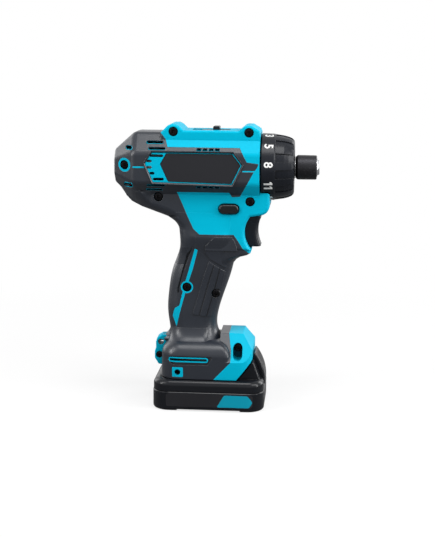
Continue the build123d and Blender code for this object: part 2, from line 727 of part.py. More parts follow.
def clutch_ring_gear():
    """The last ring gear, held still by the clutch balls between its face lugs."""
    ring = ring_gear(10.9, 18.2, RING_OUTER_R)
    bump = axial(Pos(16.6, 0) * Circle(1.3), 18.0, 19.0)
    bump = chamfer(bump.edges().group_by(Axis.X)[-1], 0.5)
    return ring + around_axis(bump, 6, 30.0)


def shift_fork():
    bow = tube(4.4, 5.6, 20.8, 21.8) & block(0.0, 10.0, -30.0, 30.0, AXIS_Z - 0.7, AXIS_Z + 30.0)
    pin = extrude(Plane.XZ.offset(-21.4) * Pos(5.0, AXIS_Z) * Circle(0.65), 5.0)
    return bow + pin + mirror(pin, Plane.XZ)


def speed_lever():
    plate = block(-11.6, 9.0, -6.3, 6.3, 209.0, 210.2)
    knob = block(-3.0, 1.9, -5.2, 5.2, 209.5, 213.2)
    knob = fillet(knob.edges().filter_by(Axis.Y).group_by(Axis.Z)[-1], 0.9)
    stem = block(-2.0, 1.2, -2.2, 2.2, 205.5, 209.2)
    arm = block(-2.0, 5.4, -1.6, 1.6, 204.9, 205.9)
    hook = block(4.5, 5.5, -1.6, 1.6, 204.76, 205.9)
    return plate + knob + stem + arm + hook


def clutch_balls():
    """Six balls in the front wall of the gear case, and the washer that presses them back."""
    ball = Pos(20.65, 16.6, AXIS_Z) * Sphere(2.0)
    return around_axis(ball, 6) + [tube(22.75, 24.2, 13.4, 18.9)]


def axial_spring(x_from, x_to, mean_r, wire_r, turns, height=AXIS_Z):
    """A coil spring along X: one wire that runs on two tangent arcs in each half turn."""
    first = x_from + wire_r
    rise = (x_to - x_from - 2 * wire_r) / (TAU * turns)
    knots = []
    for i in range(2 * turns + 1):
        angle = pi * i
        point = Vector(first + rise * angle, mean_r * cos(angle), height + mean_r * sin(angle))
        heading = Vector(rise, -mean_r * sin(angle), mean_r * cos(angle)).normalized()
        knots.append((point, heading))
    edges = []
    for (start, out), (end, into) in zip(knots, knots[1:]):
        chord = end - start
        square = 2 * out.dot(into) - 2
        linear = -2 * chord.dot(out + into)
        reach = (-linear - (linear ** 2 - 4 * square * chord.dot(chord)) ** 0.5) / (2 * square)
        joint = (start + out * reach + end - into * reach) * 0.5
        heading = (end - into * reach - start - out * reach).normalized()
        edges.append(Edge.make_tangent_arc(start, out, joint))
        edges.append(Edge.make_tangent_arc(joint, heading, end))
    path = Wire(edges)
    section = Plane(path @ 0, z_dir=path % 0) * Circle(wire_r)
    return sweep(section, path)


RETAINER_X = 41.0


def clutch_spring():
    return axial_spring(24.25, RETAINER_X - 0.05, 16.4, 1.1, 5)


def spring_retainer():
    nut = tube(RETAINER_X, RETAINER_X + 4.5, NECK_TUBE_R + 0.08, 18.5)
    key = axial(Pos(19.2, 0) * Rectangle(3.6, 4.0), RETAINER_X, RETAINER_X + 4.5)
    return nut + around_axis(key, 3)


def clutch_ring():
    """The torque setting ring: a smooth rear band, a fluted front, a rounded nose."""
    outside = Plane.XZ * Pos(0, AXIS_Z) * closed(
        (RING_REAR_X, 24.6), (RING_REAR_X + 0.6, 25.2), (43.4, 24.9), (44.0, 24.6), (50.7, 23.6),
        (54.0, 22.7), (56.4, 21.6), (57.8, 20.2), (RING_FRONT_X, 18.8), (RING_FRONT_X, 16.2),
        (57.2, 15.2), (55.6, 15.2), (55.6, 13.3), (52.2, 13.3), (52.2, 19.0), (36.0, 19.0),
        (36.0, 21.8), (RING_REAR_X, 21.8),
    )
    ring = revolve(outside, Axis((0, 0, AXIS_Z), (1, 0, 0)))
    band = turned(
        (44.4, 23.8), (50.7, 22.9), (54.0, 22.0), (56.4, 20.8), (60.0, 19.0), (60.0, 30.0), (44.4, 30.0),
    )
    wedge = axial(Pos(24.0, 0) * Rectangle(12.0, RING_GROOVE_WIDTH), 44.0, 61.0)
    ring = ring - around_axis(band & wedge, RING_GROOVES, 9.0)
    keyway = axial(Pos(19.8, 0) * Rectangle(3.6, 4.8), 35.0, 47.5)
    return ring - around_axis(keyway, 3)


def ring_keeper():
    return tube(56.0, 57.3, 9.0, 14.7)


# Spindle and quick-change chuck

def spindle():
    shaft = turned(
        (18.5, 0), (18.5, 13.0), (21.4, 13.0), (21.4, 7.2), (24.0, 7.2), (24.0, SPINDLE_R),
        (66.0, SPINDLE_R), (66.0, 6.0), (75.4, 6.0), (76.0, 5.6), (76.6, 5.4), (NOSE_X, 5.0), (NOSE_X, 0),
    )
    shaft = shaft + planet_pins(11.2, 19.0)
    hexagon = RegularPolygon(HEX_FLATS / 2, 6, major_radius=False, rotation=0)
    socket = axial(hexagon, NOSE_X - HEX_DEPTH, NOSE_X + 1.0)
    mouth = turned((NOSE_X - 0.9, 0), (NOSE_X - 0.9, 3.4), (NOSE_X + 0.1, 4.4), (NOSE_X + 0.1, 0))
    ball_hole = extrude(Plane.XY.offset(AXIS_Z + 2.0) * Pos(62.5, 0) * Circle(1.8), 8.0)
    return shaft - socket - mouth - ball_hole


def bit_ball():
    return Pos(62.5, 0, AXIS_Z + 4.78) * Sphere(1.75)


def chuck_sleeve():
    sleeve = turned(
        (SLEEVE_REAR_X, 6.6), (66.0, 6.6), (66.0, 7.9), (SLEEVE_FRONT_X, 7.9), (SLEEVE_FRONT_X, 8.5),
        (74.4, 9.1), (66.0, SLEEVE_R), (61.0, SLEEVE_R), (60.2, 8.9), (SLEEVE_REAR_X, 7.8),
    )
    return sleeve


def sleeve_spring():
    return axial_spring(66.1, 73.5, 7.0, 0.4, 4)


def snap_ring():
    return [tube(73.55, 74.5, 6.0, 7.75), tube(74.5, 75.3, 6.0, 7.0)]


# Motor

def motor_can():
    can = tube(-60.8, -14.0, 16.8, 18.0) + tube(-14.0, -12.4, 5.0, 18.0)
    return can


def motor_magnets():
    arc = tube(-50.0, -24.0, 13.8, 16.8) & block(-60.0, -14.0, -30.0, 30.0, AXIS_Z + 5.5, AXIS_Z + 20)
    return [arc, arc.rotate(Axis((0, 0, AXIS_Z), (1, 0, 0)), 180)]


def brush_boxes(x_from, x_to, half_y, z_from, z_to):
    upper = block(x_from, x_to, -half_y, half_y, AXIS_Z + z_from, AXIS_Z + z_to)
    return [upper, upper.rotate(Axis((0, 0, AXIS_Z), (1, 0, 0)), 180)]


def motor_end_cap():
    cap = tube(-62.6, -60.8, 4.0, 18.0) + tube(-63.5, -62.6, 4.0, 6.4)
    cap = cap + brush_boxes(-61.0, -55.2, 3.6, 6.2, 15.6)
    return cap - brush_boxes(-60.2, -56.0, 2.2, 5.0, 13.0)


def carbon_brushes():
    brushes = []
    for box in brush_boxes(-60.2, -56.0, 2.2, 4.6, 12.4):
        brushes.append(box - rod(-61.0, -55.0, 5.1))
    return brushes


def armature_core():
    core = rod(-49.0, -26.0, 13.2)
    slot = axial(Pos(9.6, 0) * Rectangle(6.4, 3.4) + Pos(13.0, 0) * Rectangle(3.0, 1.4), -50.0, -25.0)
    return core - around_axis(slot, 5) - rod(-50.0, -25.0, 1.6)


def armature_windings():
    """Copper end turns at both ends of the core, and the commutator bars behind them."""
    rear = tube(-54.4, -49.0, 4.0, 11.6)
    rear = fillet(rear.edges().group_by(Axis.X)[0], 2.2)
    front = tube(-26.0, -22.4, 4.0, 11.6)
    front = fillet(front.edges().group_by(Axis.X)[-1], 1.6)
    bars = axial(Circle(5.0) - Circle(1.6), -60.4, -54.9)
    cut = axial(Pos(5.0, 0) * Rectangle(0.8, 0.5), -60.6, -54.8)
    return [rear, front, bars - around_axis(cut, 10)]


def cooling_fan():
    hub = tube(-21.4, -17.0, 1.6, 3.6) + tube(-18.2, -17.0, 3.2, 14.6)
    blade = axial(Pos(9.0, 0) * Rectangle(11.0, 0.9), -21.4, -17.6)
    return hub + around_axis(blade, 9)


def armature_shaft():
    """The motor shaft and the pinion pressed on its front end, which is the first sun wheel."""
    pinion = axial(outer_teeth(SUN_TEETH) - Circle(1.6), -10.4, -4.9)
    return [rod(-63.3, -4.9, 1.6), pinion]


def bearings():
    return [
        tube(-63.5, -60.9, 1.64, 4.0), tube(-15.4, -12.4, 1.64, 5.0),
        tube(24.6, 31.0, SPINDLE_R + 0.04, 9.0), tube(46.5, 53.5, SPINDLE_R + 0.04, 9.0),
    ]


# Electrics in the grip and foot

BLADE_YS = (-10.5, -3.5, 3.5, 10.5)


def terminal_block():
    body = block(-34.8, -28.0, -14.0, 14.0, 28.0, 42.0)
    body = chamfer(body.edges().filter_by(Axis.Y), 1.0)
    for y in BLADE_YS:
        body -= block(-31.0, -27.0, y - 0.4, y + 0.4, 28.8, 33.0)
    return body


def terminal_blades():
    return [block(-31.0, -12.4, y - 0.4, y + 0.4, 28.8, 33.0) for y in BLADE_YS]


def wire(radius, *points):
    path = FilletPolyline(*points, radius=3.0)
    section = Plane(path @ 0, z_dir=path % 0) * Circle(radius)
    return sweep(section, path)


def lead_wires():
    """Leads from the terminals to the switch, and from the switch to the motor."""
    runs = []
    for side in (-1, 1):
        runs.append(wire(
            0.9, (-31.0, 5 * side, 42.4), (-27.0, 5 * side, 56.0), (-12.0, 4 * side, 92.0),
            (-10.0, 4 * side, 122.5),
        ))
        runs.append(wire(
            0.9, (-16.5, 5 * side, 136.0), (-22.0, 5 * side, 143.5), (-40.0, 7 * side, 154.6),
            (-57.5, 8 * side, 158.5), (-64.6, 9 * side, 166.5), (-64.6, 9 * side, 175.0),
            (-63.0, 9 * side, 176.0),
        ))
    return runs


# Battery

def pack_plan(inset=0.0):
    length = PACK_FRONT_X - PACK_REAR_X - 2 * inset
    plan = RectangleRounded(length, 2 * (PACK_HALF - inset), PACK_CORNER - inset)
    return Pos((PACK_FRONT_X + PACK_REAR_X) / 2, 0) * plan


PACK_SCREWS = ((33.0, 24.0), (33.0, -24.0), (-41.0, 21.0), (-41.0, -21.0))


def battery_lower_case():
    case = extrude(pack_plan(), PACK_SEAM_Z - 0.3)
    case = fillet(case.edges().group_by(Axis.Z)[0], 2.4)
    case = chamfer(case.edges().group_by(Axis.Z)[-1], 0.6)
    case -= extrude(Plane.XY.offset(1.9) * pack_plan(2.2), 20.0)
    groove = block(-27.0, 21.0, -40.0, 40.0, -1.0, 1.3)
    case += extrude(Plane.XY.offset(1.2) * pack_plan(1.5), 1.9)
    case -= groove
    posts = [extrude(Plane.XY.offset(2.5) * Pos(x, y) * Circle(3.2), 12.0) for x, y in PACK_SCREWS]
    inside = extrude(pack_plan(1.0), PACK_SEAM_Z - 0.4)
    case = case + [post & inside for post in posts]
    for x, y in PACK_SCREWS:
        case -= Pos(x, y) * Cylinder(2.4, 10.0)
        case -= Pos(x, y) * Cylinder(1.4, 40.0)
    return case


HUMP_HALF = 24.0
BUTTON_HALF = 12.1


def hump_outline():
    return closed((18.8, 22.0), (18.8, 23.9), (29.0, 36.6), (30.6, 36.8), (38.2, 16.6), (38.2, 15.2), (20.0, 15.2))


def button_plane(lift=0.0):
    """The sloping front of the battery, seen straight on: local x runs across, y runs up it."""
    return Plane((34.4 + 0.936 * lift, 0, 26.7 + 0.352 * lift), x_dir=(0, 1, 0), z_dir=(0.936, 0, 0.352))


def battery_upper_case():
    case = extrude(Plane.XY.offset(PACK_SEAM_Z) * pack_plan(0.4), PACK_TOP_Z - PACK_SEAM_Z)
    case = fillet(case.edges().group_by(Axis.Z)[-1], 4.4)
    hump = side_prism(hump_outline(), HUMP_HALF)
    crest = [e for e in hump.edges().filter_by(Axis.Y) if e.center().Z > 36]
    hump = fillet(crest, 0.9)
    rim = [e for e in hump.edges() if abs(abs(e.center().Y) - HUMP_HALF) < 0.1 and e.center().Z > 24]
    hump = fillet(rim, 1.2)
    case = case + hump
    neck_part = block(-20.0, 19.5, -19.6, 19.6, 22.0, 27.5)
    rails = block(-20.0, 14.0, -23.0, 23.0, 26.8, 29.6)
    head = block(-20.0, 17.0, -17.5, 17.5, 26.0, 33.6)
    head = chamfer(head.edges().group_by(Axis.Z)[-1], 1.0)
    case = case + neck_part + rails + head
    hollow = extrude(Plane.XY.offset(PACK_SEAM_Z - 1.0) * pack_plan(2.6), 7.4)
    hump_hollow = side_prism(closed((22.8, 20.0), (27.0, 28.4), (30.4, 20.0)), 21.0)
    board_room = block(-9.5, 14.5, -15.0, 15.0, 20.0, 31.6)
    case = case - hollow - hump_hollow - board_room
    for y in BLADE_YS:
        case -= block(-21.0, -11.2, y - 1.7, y + 1.7, 27.2, 34.0)
    seat = extrude(button_plane(-2.6) * Pos(0, 1.0) * Rectangle(25.0, 28.0), 10.0)
    case -= seat
    posts = [extrude(Plane.XY.offset(PACK_SEAM_Z) * Pos(x, y) * Circle(3.2), 7.0) for x, y in PACK_SCREWS]
    case = case + posts
    for x, y in PACK_SCREWS:
        case -= Pos(x, y, PACK_SEAM_Z) * Cylinder(1.2, 9.0)
    return case


def battery_cells():
    cells = []
    for y in (-19.0, 0.0, 19.0):
        can = Plane.YZ.offset(-37.5) * Pos(y, 12.25) * Circle(CELL_R)
        cell = fillet(extrude(can, CELL_LENGTH).edges(), 0.8)
        cells.append(cell)
    return cells


def battery_board():
    board = block(-9.0, 14.0, -14.5, 14.5, 24.4, 26.0)
    return board + block(-2.0, 6.0, -5.0, 5.0, 25.9, 28.0)


def battery_clips():
    clips = []
    for y in BLADE_YS:
        clip = block(-11.9, -11.4, y - 1.4, y + 1.4, 27.4, 33.0)
        clip = clip + block(-19.4, -11.8, y + 0.75, y + 1.35, 27.6, 33.0)
        clips.append(clip + block(-19.4, -11.8, y - 1.35, y - 0.75, 27.6, 33.0))
    return clips


def battery_screws():
    screws = []
    for x, y in PACK_SCREWS:
        head = Pos(x, y, 4.0) * Cylinder(2.1, 2.0)
        head -= Pos(x, y, 3.0) * Box(2.4, 0.6, 1.4)
        head -= Pos(x, y, 3.0) * Box(0.6, 2.4, 1.4)
        screws.append(head + Pos(x, y, 11.0) * Cylinder(1.2, 13.0))
    return screws


def release_button():
    """The latch button: a curved plate down the battery's front with a lip in front of the foot."""
    with BuildSketch() as drawing:
        with BuildLine():
            Polyline((39.0, 17.6), (35.8, 17.6), (29.6, 34.4), (30.2, 37.4), (30.2, 41.2), (31.2, 41.6))
            ThreePointArc((31.2, 41.6), (36.9, 31.4), (39.0, 17.6))
        make_face()
    pad = side_prism(drawing.sketch, BUTTON_HALF)
    rim = [e for e in pad.edges() if abs(abs(e.center().Y) - BUTTON_HALF) < 0.1 and e.center().X > 33]
    pad = fillet([e for e in rim if e.bounding_box().size.Z > 5], 1.4)
    for i in range(3):
        groove = Pos(37.6 - 0.45 * i, 22.4 + 3.0 * i) * Rot(0, 0, -12) * Rectangle(1.2, 0.9)
        pad -= side_prism(Pos(1.1, 0) * groove, 9.0)
    return pad


# Export

def save(name, shape):
    solids = []
    for piece in shape if isinstance(shape, (list, tuple)) else [shape]:
        solids += piece.solids()
    node = solids[0] if len(solids) == 1 else Compound(children=solids)
    node.label = name
    export_step(node, os.path.join("parts", name + ".step"))


def main():
    os.makedirs("parts", exist_ok=True)
    right_shell, left_shell, right_cover, left_cover = housing()
    save("right_housing", right_shell)
    save("left_housing", left_shell)
    save("right_grip_cover", right_cover)
    save("left_grip_cover", left_cover)
    save("lamp_lens", lamp_lens(housing_form()))
    simple = (
        housing_screws, nameplate, hook_nuts, lamp_board, trigger, trigger_spring, switch_body,
        reversing_lever, speed_lever, shift_fork, sliding_ring_gear, gear_case, gearbox_end_plate,
        clutch_ring_gear, clutch_balls, clutch_spring, spring_retainer, clutch_ring,
        ring_keeper, spindle, bit_ball, chuck_sleeve, sleeve_spring, snap_ring, motor_can,
        motor_magnets, motor_end_cap, carbon_brushes, armature_shaft, armature_core,
        armature_windings, cooling_fan, bearings, terminal_block,
        terminal_blades, lead_wires, battery_lower_case, battery_upper_case, battery_cells,
        battery_board, battery_clips, battery_screws, release_button,
    )
    for recipe in simple:
        save(recipe.__name__, recipe())
    save("ring_gear_1", ring_gear(-10.5, -4.6, RING_OUTER_R))
    save("carrier_1", carrier(-4.3, -1.8, -10.2, 7.8))
    save("carrier_2", carrier(8.2, 10.7, -1.2, 18.2))
    for stage, x_from, x_to in (("1", -10.2, -4.8), ("2", -1.3, 7.8), ("3", 11.1, 18.0)):
        for index, letter in enumerate("abc"):
            save("planet_" + stage + letter, planet(x_from, x_to, index))


main()
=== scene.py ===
"""A compact cordless drill driver that stands on its slide-on battery."""

from math import asin, copysign, cos, pi, radians, sin

import bmesh
import bpy
import numpy as np
from mathutils import Matrix, Vector
from mathutils.bvhtree import BVHTree


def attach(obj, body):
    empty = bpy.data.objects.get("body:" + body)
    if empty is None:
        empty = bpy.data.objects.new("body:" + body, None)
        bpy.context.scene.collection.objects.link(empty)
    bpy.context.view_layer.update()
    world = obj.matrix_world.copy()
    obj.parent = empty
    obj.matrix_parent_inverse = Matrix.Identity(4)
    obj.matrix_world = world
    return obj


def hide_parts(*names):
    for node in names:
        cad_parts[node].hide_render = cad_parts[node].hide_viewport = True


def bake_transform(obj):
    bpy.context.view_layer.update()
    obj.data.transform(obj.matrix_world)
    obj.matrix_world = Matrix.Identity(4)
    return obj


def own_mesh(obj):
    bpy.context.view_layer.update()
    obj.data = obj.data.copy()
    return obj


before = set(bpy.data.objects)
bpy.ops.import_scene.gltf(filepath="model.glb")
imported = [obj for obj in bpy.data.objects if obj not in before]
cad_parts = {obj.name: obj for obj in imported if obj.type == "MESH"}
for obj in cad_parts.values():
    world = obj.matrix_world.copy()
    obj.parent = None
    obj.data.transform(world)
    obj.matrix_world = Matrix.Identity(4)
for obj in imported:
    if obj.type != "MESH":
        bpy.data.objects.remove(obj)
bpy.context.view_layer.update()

# Housing halves
# Two injection mouldings of glass-filled nylon, coloured blue-green right through. They close round the
# motor and gearbox along the middle of the tool, and show wherever the soft cover leaves them bare.

MM = 0.001
NYLON_BLUE_GREEN = "#00B6D6"
# Paler blue-green painted on the edges as a highlight.
NYLON_EDGE_LIGHT = "#20C6E0"
CLOUD_MM = 24.0


def linear(code):
    """An sRGB hex colour as the linear RGBA that a shader socket takes."""
    parts = [int(code[i:i + 2], 16) / 255 for i in (1, 3, 5)]
    parts = [p / 12.92 if p <= 0.04045 else ((p + 0.055) / 1.055) ** 2.4 for p in parts]
    return (*parts, 1.0)


def add(tree, kind, settings=None, links=None):
    """Adds one node. Settings are properties or socket values, links join outputs to its sockets."""
    node = tree.nodes.new(kind)
    for name, value in (settings or {}).items():
        if isinstance(name, str) and hasattr(node, name):
            setattr(node, name, value)
        else:
            node.inputs[name].default_value = value
    for name, output in (links or {}).items():
        tree.links.new(output, node.inputs[name])
    return node


def blank_material(name):
    """A new material and its empty node tree."""
    material = bpy.data.materials.new(name)
    material.use_nodes = True
    material.node_tree.nodes.clear()
    return material, material.node_tree


def moulded(
    name, colour, edge_light, roughness, ior, grain_mm, depth_mm, edge_mm, specular=0.5, shade_reach_mm=1.8
):
    """A surface from a spark-eroded tool: fine grain, cloudy gloss, painted edge highlights, painted
    corner shade.

    Grain that would be too fine to show is drawn at half a millimetre or more.
    """
    material, tree = blank_material(name)
    place = add(tree, "ShaderNodeTexCoord").outputs["Object"]
    grain = add(
        tree, "ShaderNodeTexNoise", {"Scale": 1 / (grain_mm * MM), "Detail": 2.0}, {"Vector": place}
    )
    cloud = add(
        tree, "ShaderNodeTexNoise", {"Scale": 1 / (CLOUD_MM * MM), "Detail": 3.0}, {"Vector": place}
    )
    soft_edge = add(tree, "ShaderNodeBevel", {"samples": 6, "Radius": edge_mm * MM})
    face = add(tree, "ShaderNodeNewGeometry")
    bend = add(
        tree, "ShaderNodeVectorMath", {"operation": "DOT_PRODUCT"},
        {0: soft_edge.outputs[0], 1: face.outputs["Normal"]},
    )
    # Painted highlight: the colour turns paler where the bevelled normal leaves the face's own, at the
    # edges, patchy under the cloud.
    edge_lit = add(
        tree, "ShaderNodeMapRange", {"From Min": 0.98, "From Max": 0.8, "To Min": 0.0, "To Max": 0.55},
        {"Value": bend.outputs["Value"]},
    )
    patchy = add(
        tree, "ShaderNodeMath", {"operation": "MULTIPLY"}, {0: edge_lit.outputs[0], 1: cloud.outputs["Fac"]}
    )
    edge_lit_tint = add(
        tree, "ShaderNodeMix", {"data_type": "RGBA", 6: linear(colour), 7: linear(edge_light)},
        {0: patchy.outputs[0]},
    )
    # Painted shade: the colour darkens wherever other surfaces close in within the reach given, in
    # corners, hollows and under overhangs.
    corner = add(tree, "ShaderNodeAmbientOcclusion", {"samples": 6, "Distance": shade_reach_mm * MM})
    painted_shade = add(
        tree, "ShaderNodeMapRange", {"From Min": 0.35, "From Max": 0.92, "To Min": 0.3, "To Max": 1.0},
        {"Value": corner.outputs["AO"]},
    )
    tint = add(
        tree, "ShaderNodeMix", {"data_type": "RGBA", "blend_type": "MULTIPLY", 0: 1.0},
        {6: edge_lit_tint.outputs[2], 7: painted_shade.outputs[0]},
    )
    gloss = add(
        tree, "ShaderNodeMapRange", {"To Min": roughness - 0.07, "To Max": roughness + 0.07},
        {"Value": cloud.outputs["Fac"]},
    )
    bump = add(
        tree, "ShaderNodeBump", {"Strength": 0.6, "Distance": depth_mm * MM},
        {"Height": grain.outputs["Fac"], "Normal": soft_edge.outputs[0]},
    )
    shader = add(
        tree, "ShaderNodeBsdfPrincipled", {"IOR": ior, "Specular IOR Level": specular},
        {"Base Color": tint.outputs[2], "Roughness": gloss.outputs[0], "Normal": bump.outputs[0]},
    )
    add(tree, "ShaderNodeOutputMaterial", {}, {"Surface": shader.outputs[0]})
    return material


def dress(material, *names):
    """Gives CAD nodes their finish."""
    for name in names:
        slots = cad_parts[name].data.materials
        slots.clear()
        slots.append(material)


# Glass-filled nylon: satin, with a fine even grain. The grain is 0.3 mm on the tool and drawn at 0.8 mm
# so that it shows.
# Its painted shade reaches 12 mm, darkening the side under the barrel and the screw pockets.
glass_filled_nylon = moulded(
    "glass_filled_nylon", NYLON_BLUE_GREEN, NYLON_EDGE_LIGHT, roughness=0.42, ior=1.53, grain_mm=0.8,
    depth_mm=0.03, edge_mm=0.45, specular=0.06, shade_reach_mm=12.0,
)
dress(glass_filled_nylon, "right_housing", "left_housing")

# Soft grip covers
# A thermoplastic elastomer moulded over each half in a second shot, so it is bonded and has no fixings.
# It wraps the barrel, the grip and the foot and has windows where the hard nylon shows through.

ELASTOMER_GREY = "#1D222B"
# Paler grey painted on the edges as a highlight.
ELASTOMER_EDGE_LIGHT = "#42454C"
# Moulded elastomer: dark grey, dull to satin, with a soft sheen where it turns away.
moulded_elastomer = moulded(
    "moulded_elastomer", ELASTOMER_GREY, ELASTOMER_EDGE_LIGHT, roughness=0.34, ior=1.5, grain_mm=0.9,
    depth_mm=0.04, edge_mm=0.5, specular=0.5,
)
dress(moulded_elastomer, "right_grip_cover", "left_grip_cover")

# Window lips and tail lines
# The cover ends at the window in each side of the barrel with a raised lip that slopes in towards it.
# Behind the window the hard nylon shows again as a thin line that runs to the screw at the tail.

SIDES = ((-1, "right"), (1, "left"))
WINDOW_MM = (
    (-51.6, 186.4), (-46.4, 194.6), (13.2, 194.6), (20.0, 185.9), (12.8, 171.4), (-45.7, 172.6),
)
# Section of the lip: how far out from the window's edge, and how high over the side of the barrel.
LIP_MM = ((0.1, -1.4), (0.1, 0.05), (0.85, 0.8), (1.1, 0.8), (1.3, 0.6), (1.3, -1.4))
BARREL_HALF_MM = 26.0
TAIL_LINE_MM = ((-61.0, 182.9), (-51.9, 182.9), (-51.9, 184.1), (-61.0, 184.1))
# Places along the line where it is cut across, so that it can follow the barrel.
TAIL_STEPS_MM = [-61.0 + 0.5 * i for i in range(19)]
FILM_MM = 0.1
FILM_SUNK_MM = 0.02
WELD_MM = 0.001
# A distance that is clear of the tool on every side, where rays at it start.
OUTSIDE_MM = 100.0


def finished(mesh, name, sharp_deg=None):
    """A bmesh as mesh data with its faces outwards, smooth except at edges over an angle."""
    bmesh.ops.dissolve_degenerate(mesh, edges=mesh.edges[:], dist=WELD_MM * MM)
    bmesh.ops.recalc_face_normals(mesh, faces=mesh.faces[:])
    data = bpy.data.meshes.new(name)
    mesh.to_mesh(data)
    mesh.free()
    if sharp_deg:
        data.polygons.foreach_set("use_smooth", [True] * len(data.polygons))
        data.set_sharp_from_angle(angle=radians(sharp_deg))
    return data


def show(data, name, body, material=None):
    """Puts a finished mesh in the scene as a piece that rides on a body."""
    piece = bpy.data.objects.new(name, data)
    bpy.context.scene.collection.objects.link(piece)
    if material:
        data.materials.clear()
        data.materials.append(material)
    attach(piece, body)
    return piece


def banded(mesh, loops, closed=True):
    """Joins each loop of vertices to the next by a band of faces, and the last to the first if closed."""
    for here, there in zip(loops, loops[1:] + (loops[:1] if closed else [])):
        for i in range(len(here)):
            j = (i + 1) % len(here)
            mesh.faces.new((here[i], here[j], there[j], there[i]))


def widened(outline, distance):
    """An outline with every side moved outwards, its corners kept sharp."""
    sides = []
    for i, start in enumerate(outline):
        start, end = Vector(start), Vector(outline[(i + 1) % len(outline)])
        along = (end - start).normalized()
        sides.append((start + Vector((-along.y, along.x)) * distance, along))
    corners = []
    for (p, a), (q, b) in zip(sides[-1:] + sides[:-1], sides):
        gap = q - p
        corners.append(p + a * (gap.x * b.y - gap.y * b.x) / (a.x * b.y - a.y * b.x))
    return corners


def thickened(mesh, rise):
    """Turns a flat sheet of faces into a closed film, with its new side moved by rise(vertex)."""
    made = bmesh.ops.extrude_face_region(mesh, geom=mesh.faces[:], use_keep_orig=True)
    for v in made["geom"]:
        if isinstance(v, bmesh.types.BMVert):
            v.co += rise(v)


def surface_of(node):
    """The surface of a CAD node, for rays."""
    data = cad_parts[node].data
    return BVHTree.FromPolygons([v.co for v in data.vertices], [f.vertices for f in data.polygons])


def stuck_on(node, outline, steps, side, lift_mm):
    """A thin film on one side of a CAD node, inside an outline of (x, z) points in mm."""
    tree = surface_of(node)
    mesh = bmesh.new()
    mesh.faces.new([mesh.verts.new((x, 0, z)) for x, z in outline])
    for x in steps:
        everything = mesh.verts[:] + mesh.edges[:] + mesh.faces[:]
        bmesh.ops.bisect_plane(mesh, geom=everything, plane_co=(x, 0, 0), plane_no=(1, 0, 0))
    for v in mesh.verts:
        far = Vector((v.co.x * MM, side * OUTSIDE_MM * MM, v.co.z * MM))
        place, normal, _, _ = tree.ray_cast(far, Vector((0, -side, 0)))
        v.co = place + normal * lift_mm * MM
    bmesh.ops.triangulate(mesh, faces=mesh.faces[:])
    thickened(mesh, lambda v: tree.find_nearest(v.co)[1] * FILM_MM * MM)
    return finished(mesh, "film", sharp_deg=40)


lips = bmesh.new()
for side, _ in SIDES:
    loops = []
    for distance, rise in LIP_MM:
        y = side * (BARREL_HALF_MM + rise)
        loops.append([lips.verts.new(Vector((x, y, z)) * MM) for x, z in widened(WINDOW_MM, distance)])
    banded(lips, loops)
show(finished(lips, "window_lips"), "window_lips", "housing", moulded_elastomer)
for side, hand in SIDES:
    line = stuck_on(hand + "_grip_cover", TAIL_LINE_MM, TAIL_STEPS_MM, side, -FILM_SUNK_MM)
    show(line, hand + "_tail_line", "housing", glass_filled_nylon)

# Vent liners
# The air slots go through the cover and the housing. The hard nylon reaches out into each slot as a
# thin wall, moulded with the housing, so the slots have blue-green insides.

ROW_PITCH_MM = 4.5
# The middle of each slot in x and z, its length, its height and the radius of its corners.
VENTS_MM = (
    (-44.9, 201.6, 13.0, 2.3, 1.15), (-43.1, 197.2, 13.0, 2.1, 1.05), (-43.5, 170.2, 13.8, 1.8, 0.9),
    (-45.2, 166.8, 12.4, 1.6, 0.8), (-64.4, 197.4, 6.2, 3.3, 1.65), (-65.0, 169.8, 8.4, 4.0, 2.0),
    *((-11.8 + ROW_PITCH_MM * i, z, 3.7, 1.9, 0.5) for z in (196.8, 169.2) for i in range(4)),
)
LINER_WALL_SHARE = 0.13
LINER_DEPTH_MM = 2.2
LINER_BACK_MM = 0.3
LINER_CLEAR_MM = 0.15
LINER_CORNER_STEPS = 4


def slot_edge(length, height, corner, distance):
    """Points round a slot with rounded corners, with its edge moved outwards."""
    points = []
    for quarter in range(4):
        middle = (quarter + 0.5) * pi / 2
        x = copysign(length / 2 - corner, cos(middle))
        z = copysign(height / 2 - corner, sin(middle))
        for k in range(LINER_CORNER_STEPS + 1):
            turn = (quarter + k / LINER_CORNER_STEPS) * pi / 2
            points.append((x + cos(turn) * (corner + distance), z + sin(turn) * (corner + distance)))
    return points


for side, hand in SIDES:
    cover_tree = surface_of(hand + "_grip_cover")
    walls = bmesh.new()
    for x, z, *slot in VENTS_MM:
        wall = slot[1] * LINER_WALL_SHARE
        outer, inner, beside = (slot_edge(*slot, d) for d in (0.0, -wall, LINER_CLEAR_MM))
        loops = [[], [], [], []]
        for out_point, in_point, (px, pz) in zip(outer, inner, beside):
            far = Vector((x + px, side * OUTSIDE_MM, z + pz)) * MM
            surface = cover_tree.ray_cast(far, Vector((0, -side, 0)))[0]
            front = abs(surface.y) / MM - LINER_BACK_MM
            deep = front - LINER_DEPTH_MM
            section = ((out_point, front), (in_point, front), (in_point, deep), (out_point, deep))
            for loop, ((dx, dz), y) in zip(loops, section):
                loop.append(walls.verts.new(Vector((x + dx, side * y, z + dz)) * MM))
        banded(walls, loops)
    bmesh.ops.remove_doubles(walls, verts=walls.verts, dist=WELD_MM * MM)
    liners = finished(walls, hand + "_vent_liners")
    show(liners, hand + "_vent_liners", "housing", glass_filled_nylon)

# Grip flare
# Above the foot the cover sweeps out from the grip to the foot's shoulders in one hollow curve. It is
# part of the same soft moulding, thick at the root of the curve.

GRIP_ROOT_MM = {"back": -34.7, "front": 1.6, "half": 17.5, "corner": 12.5}
FLARE_TOP_MM = 61.0
FLARE_FOOT_MM = 49.5
FLARE_PULL_MM = (0.7, 52.6)
FLARE_MOST_MM = 9.0
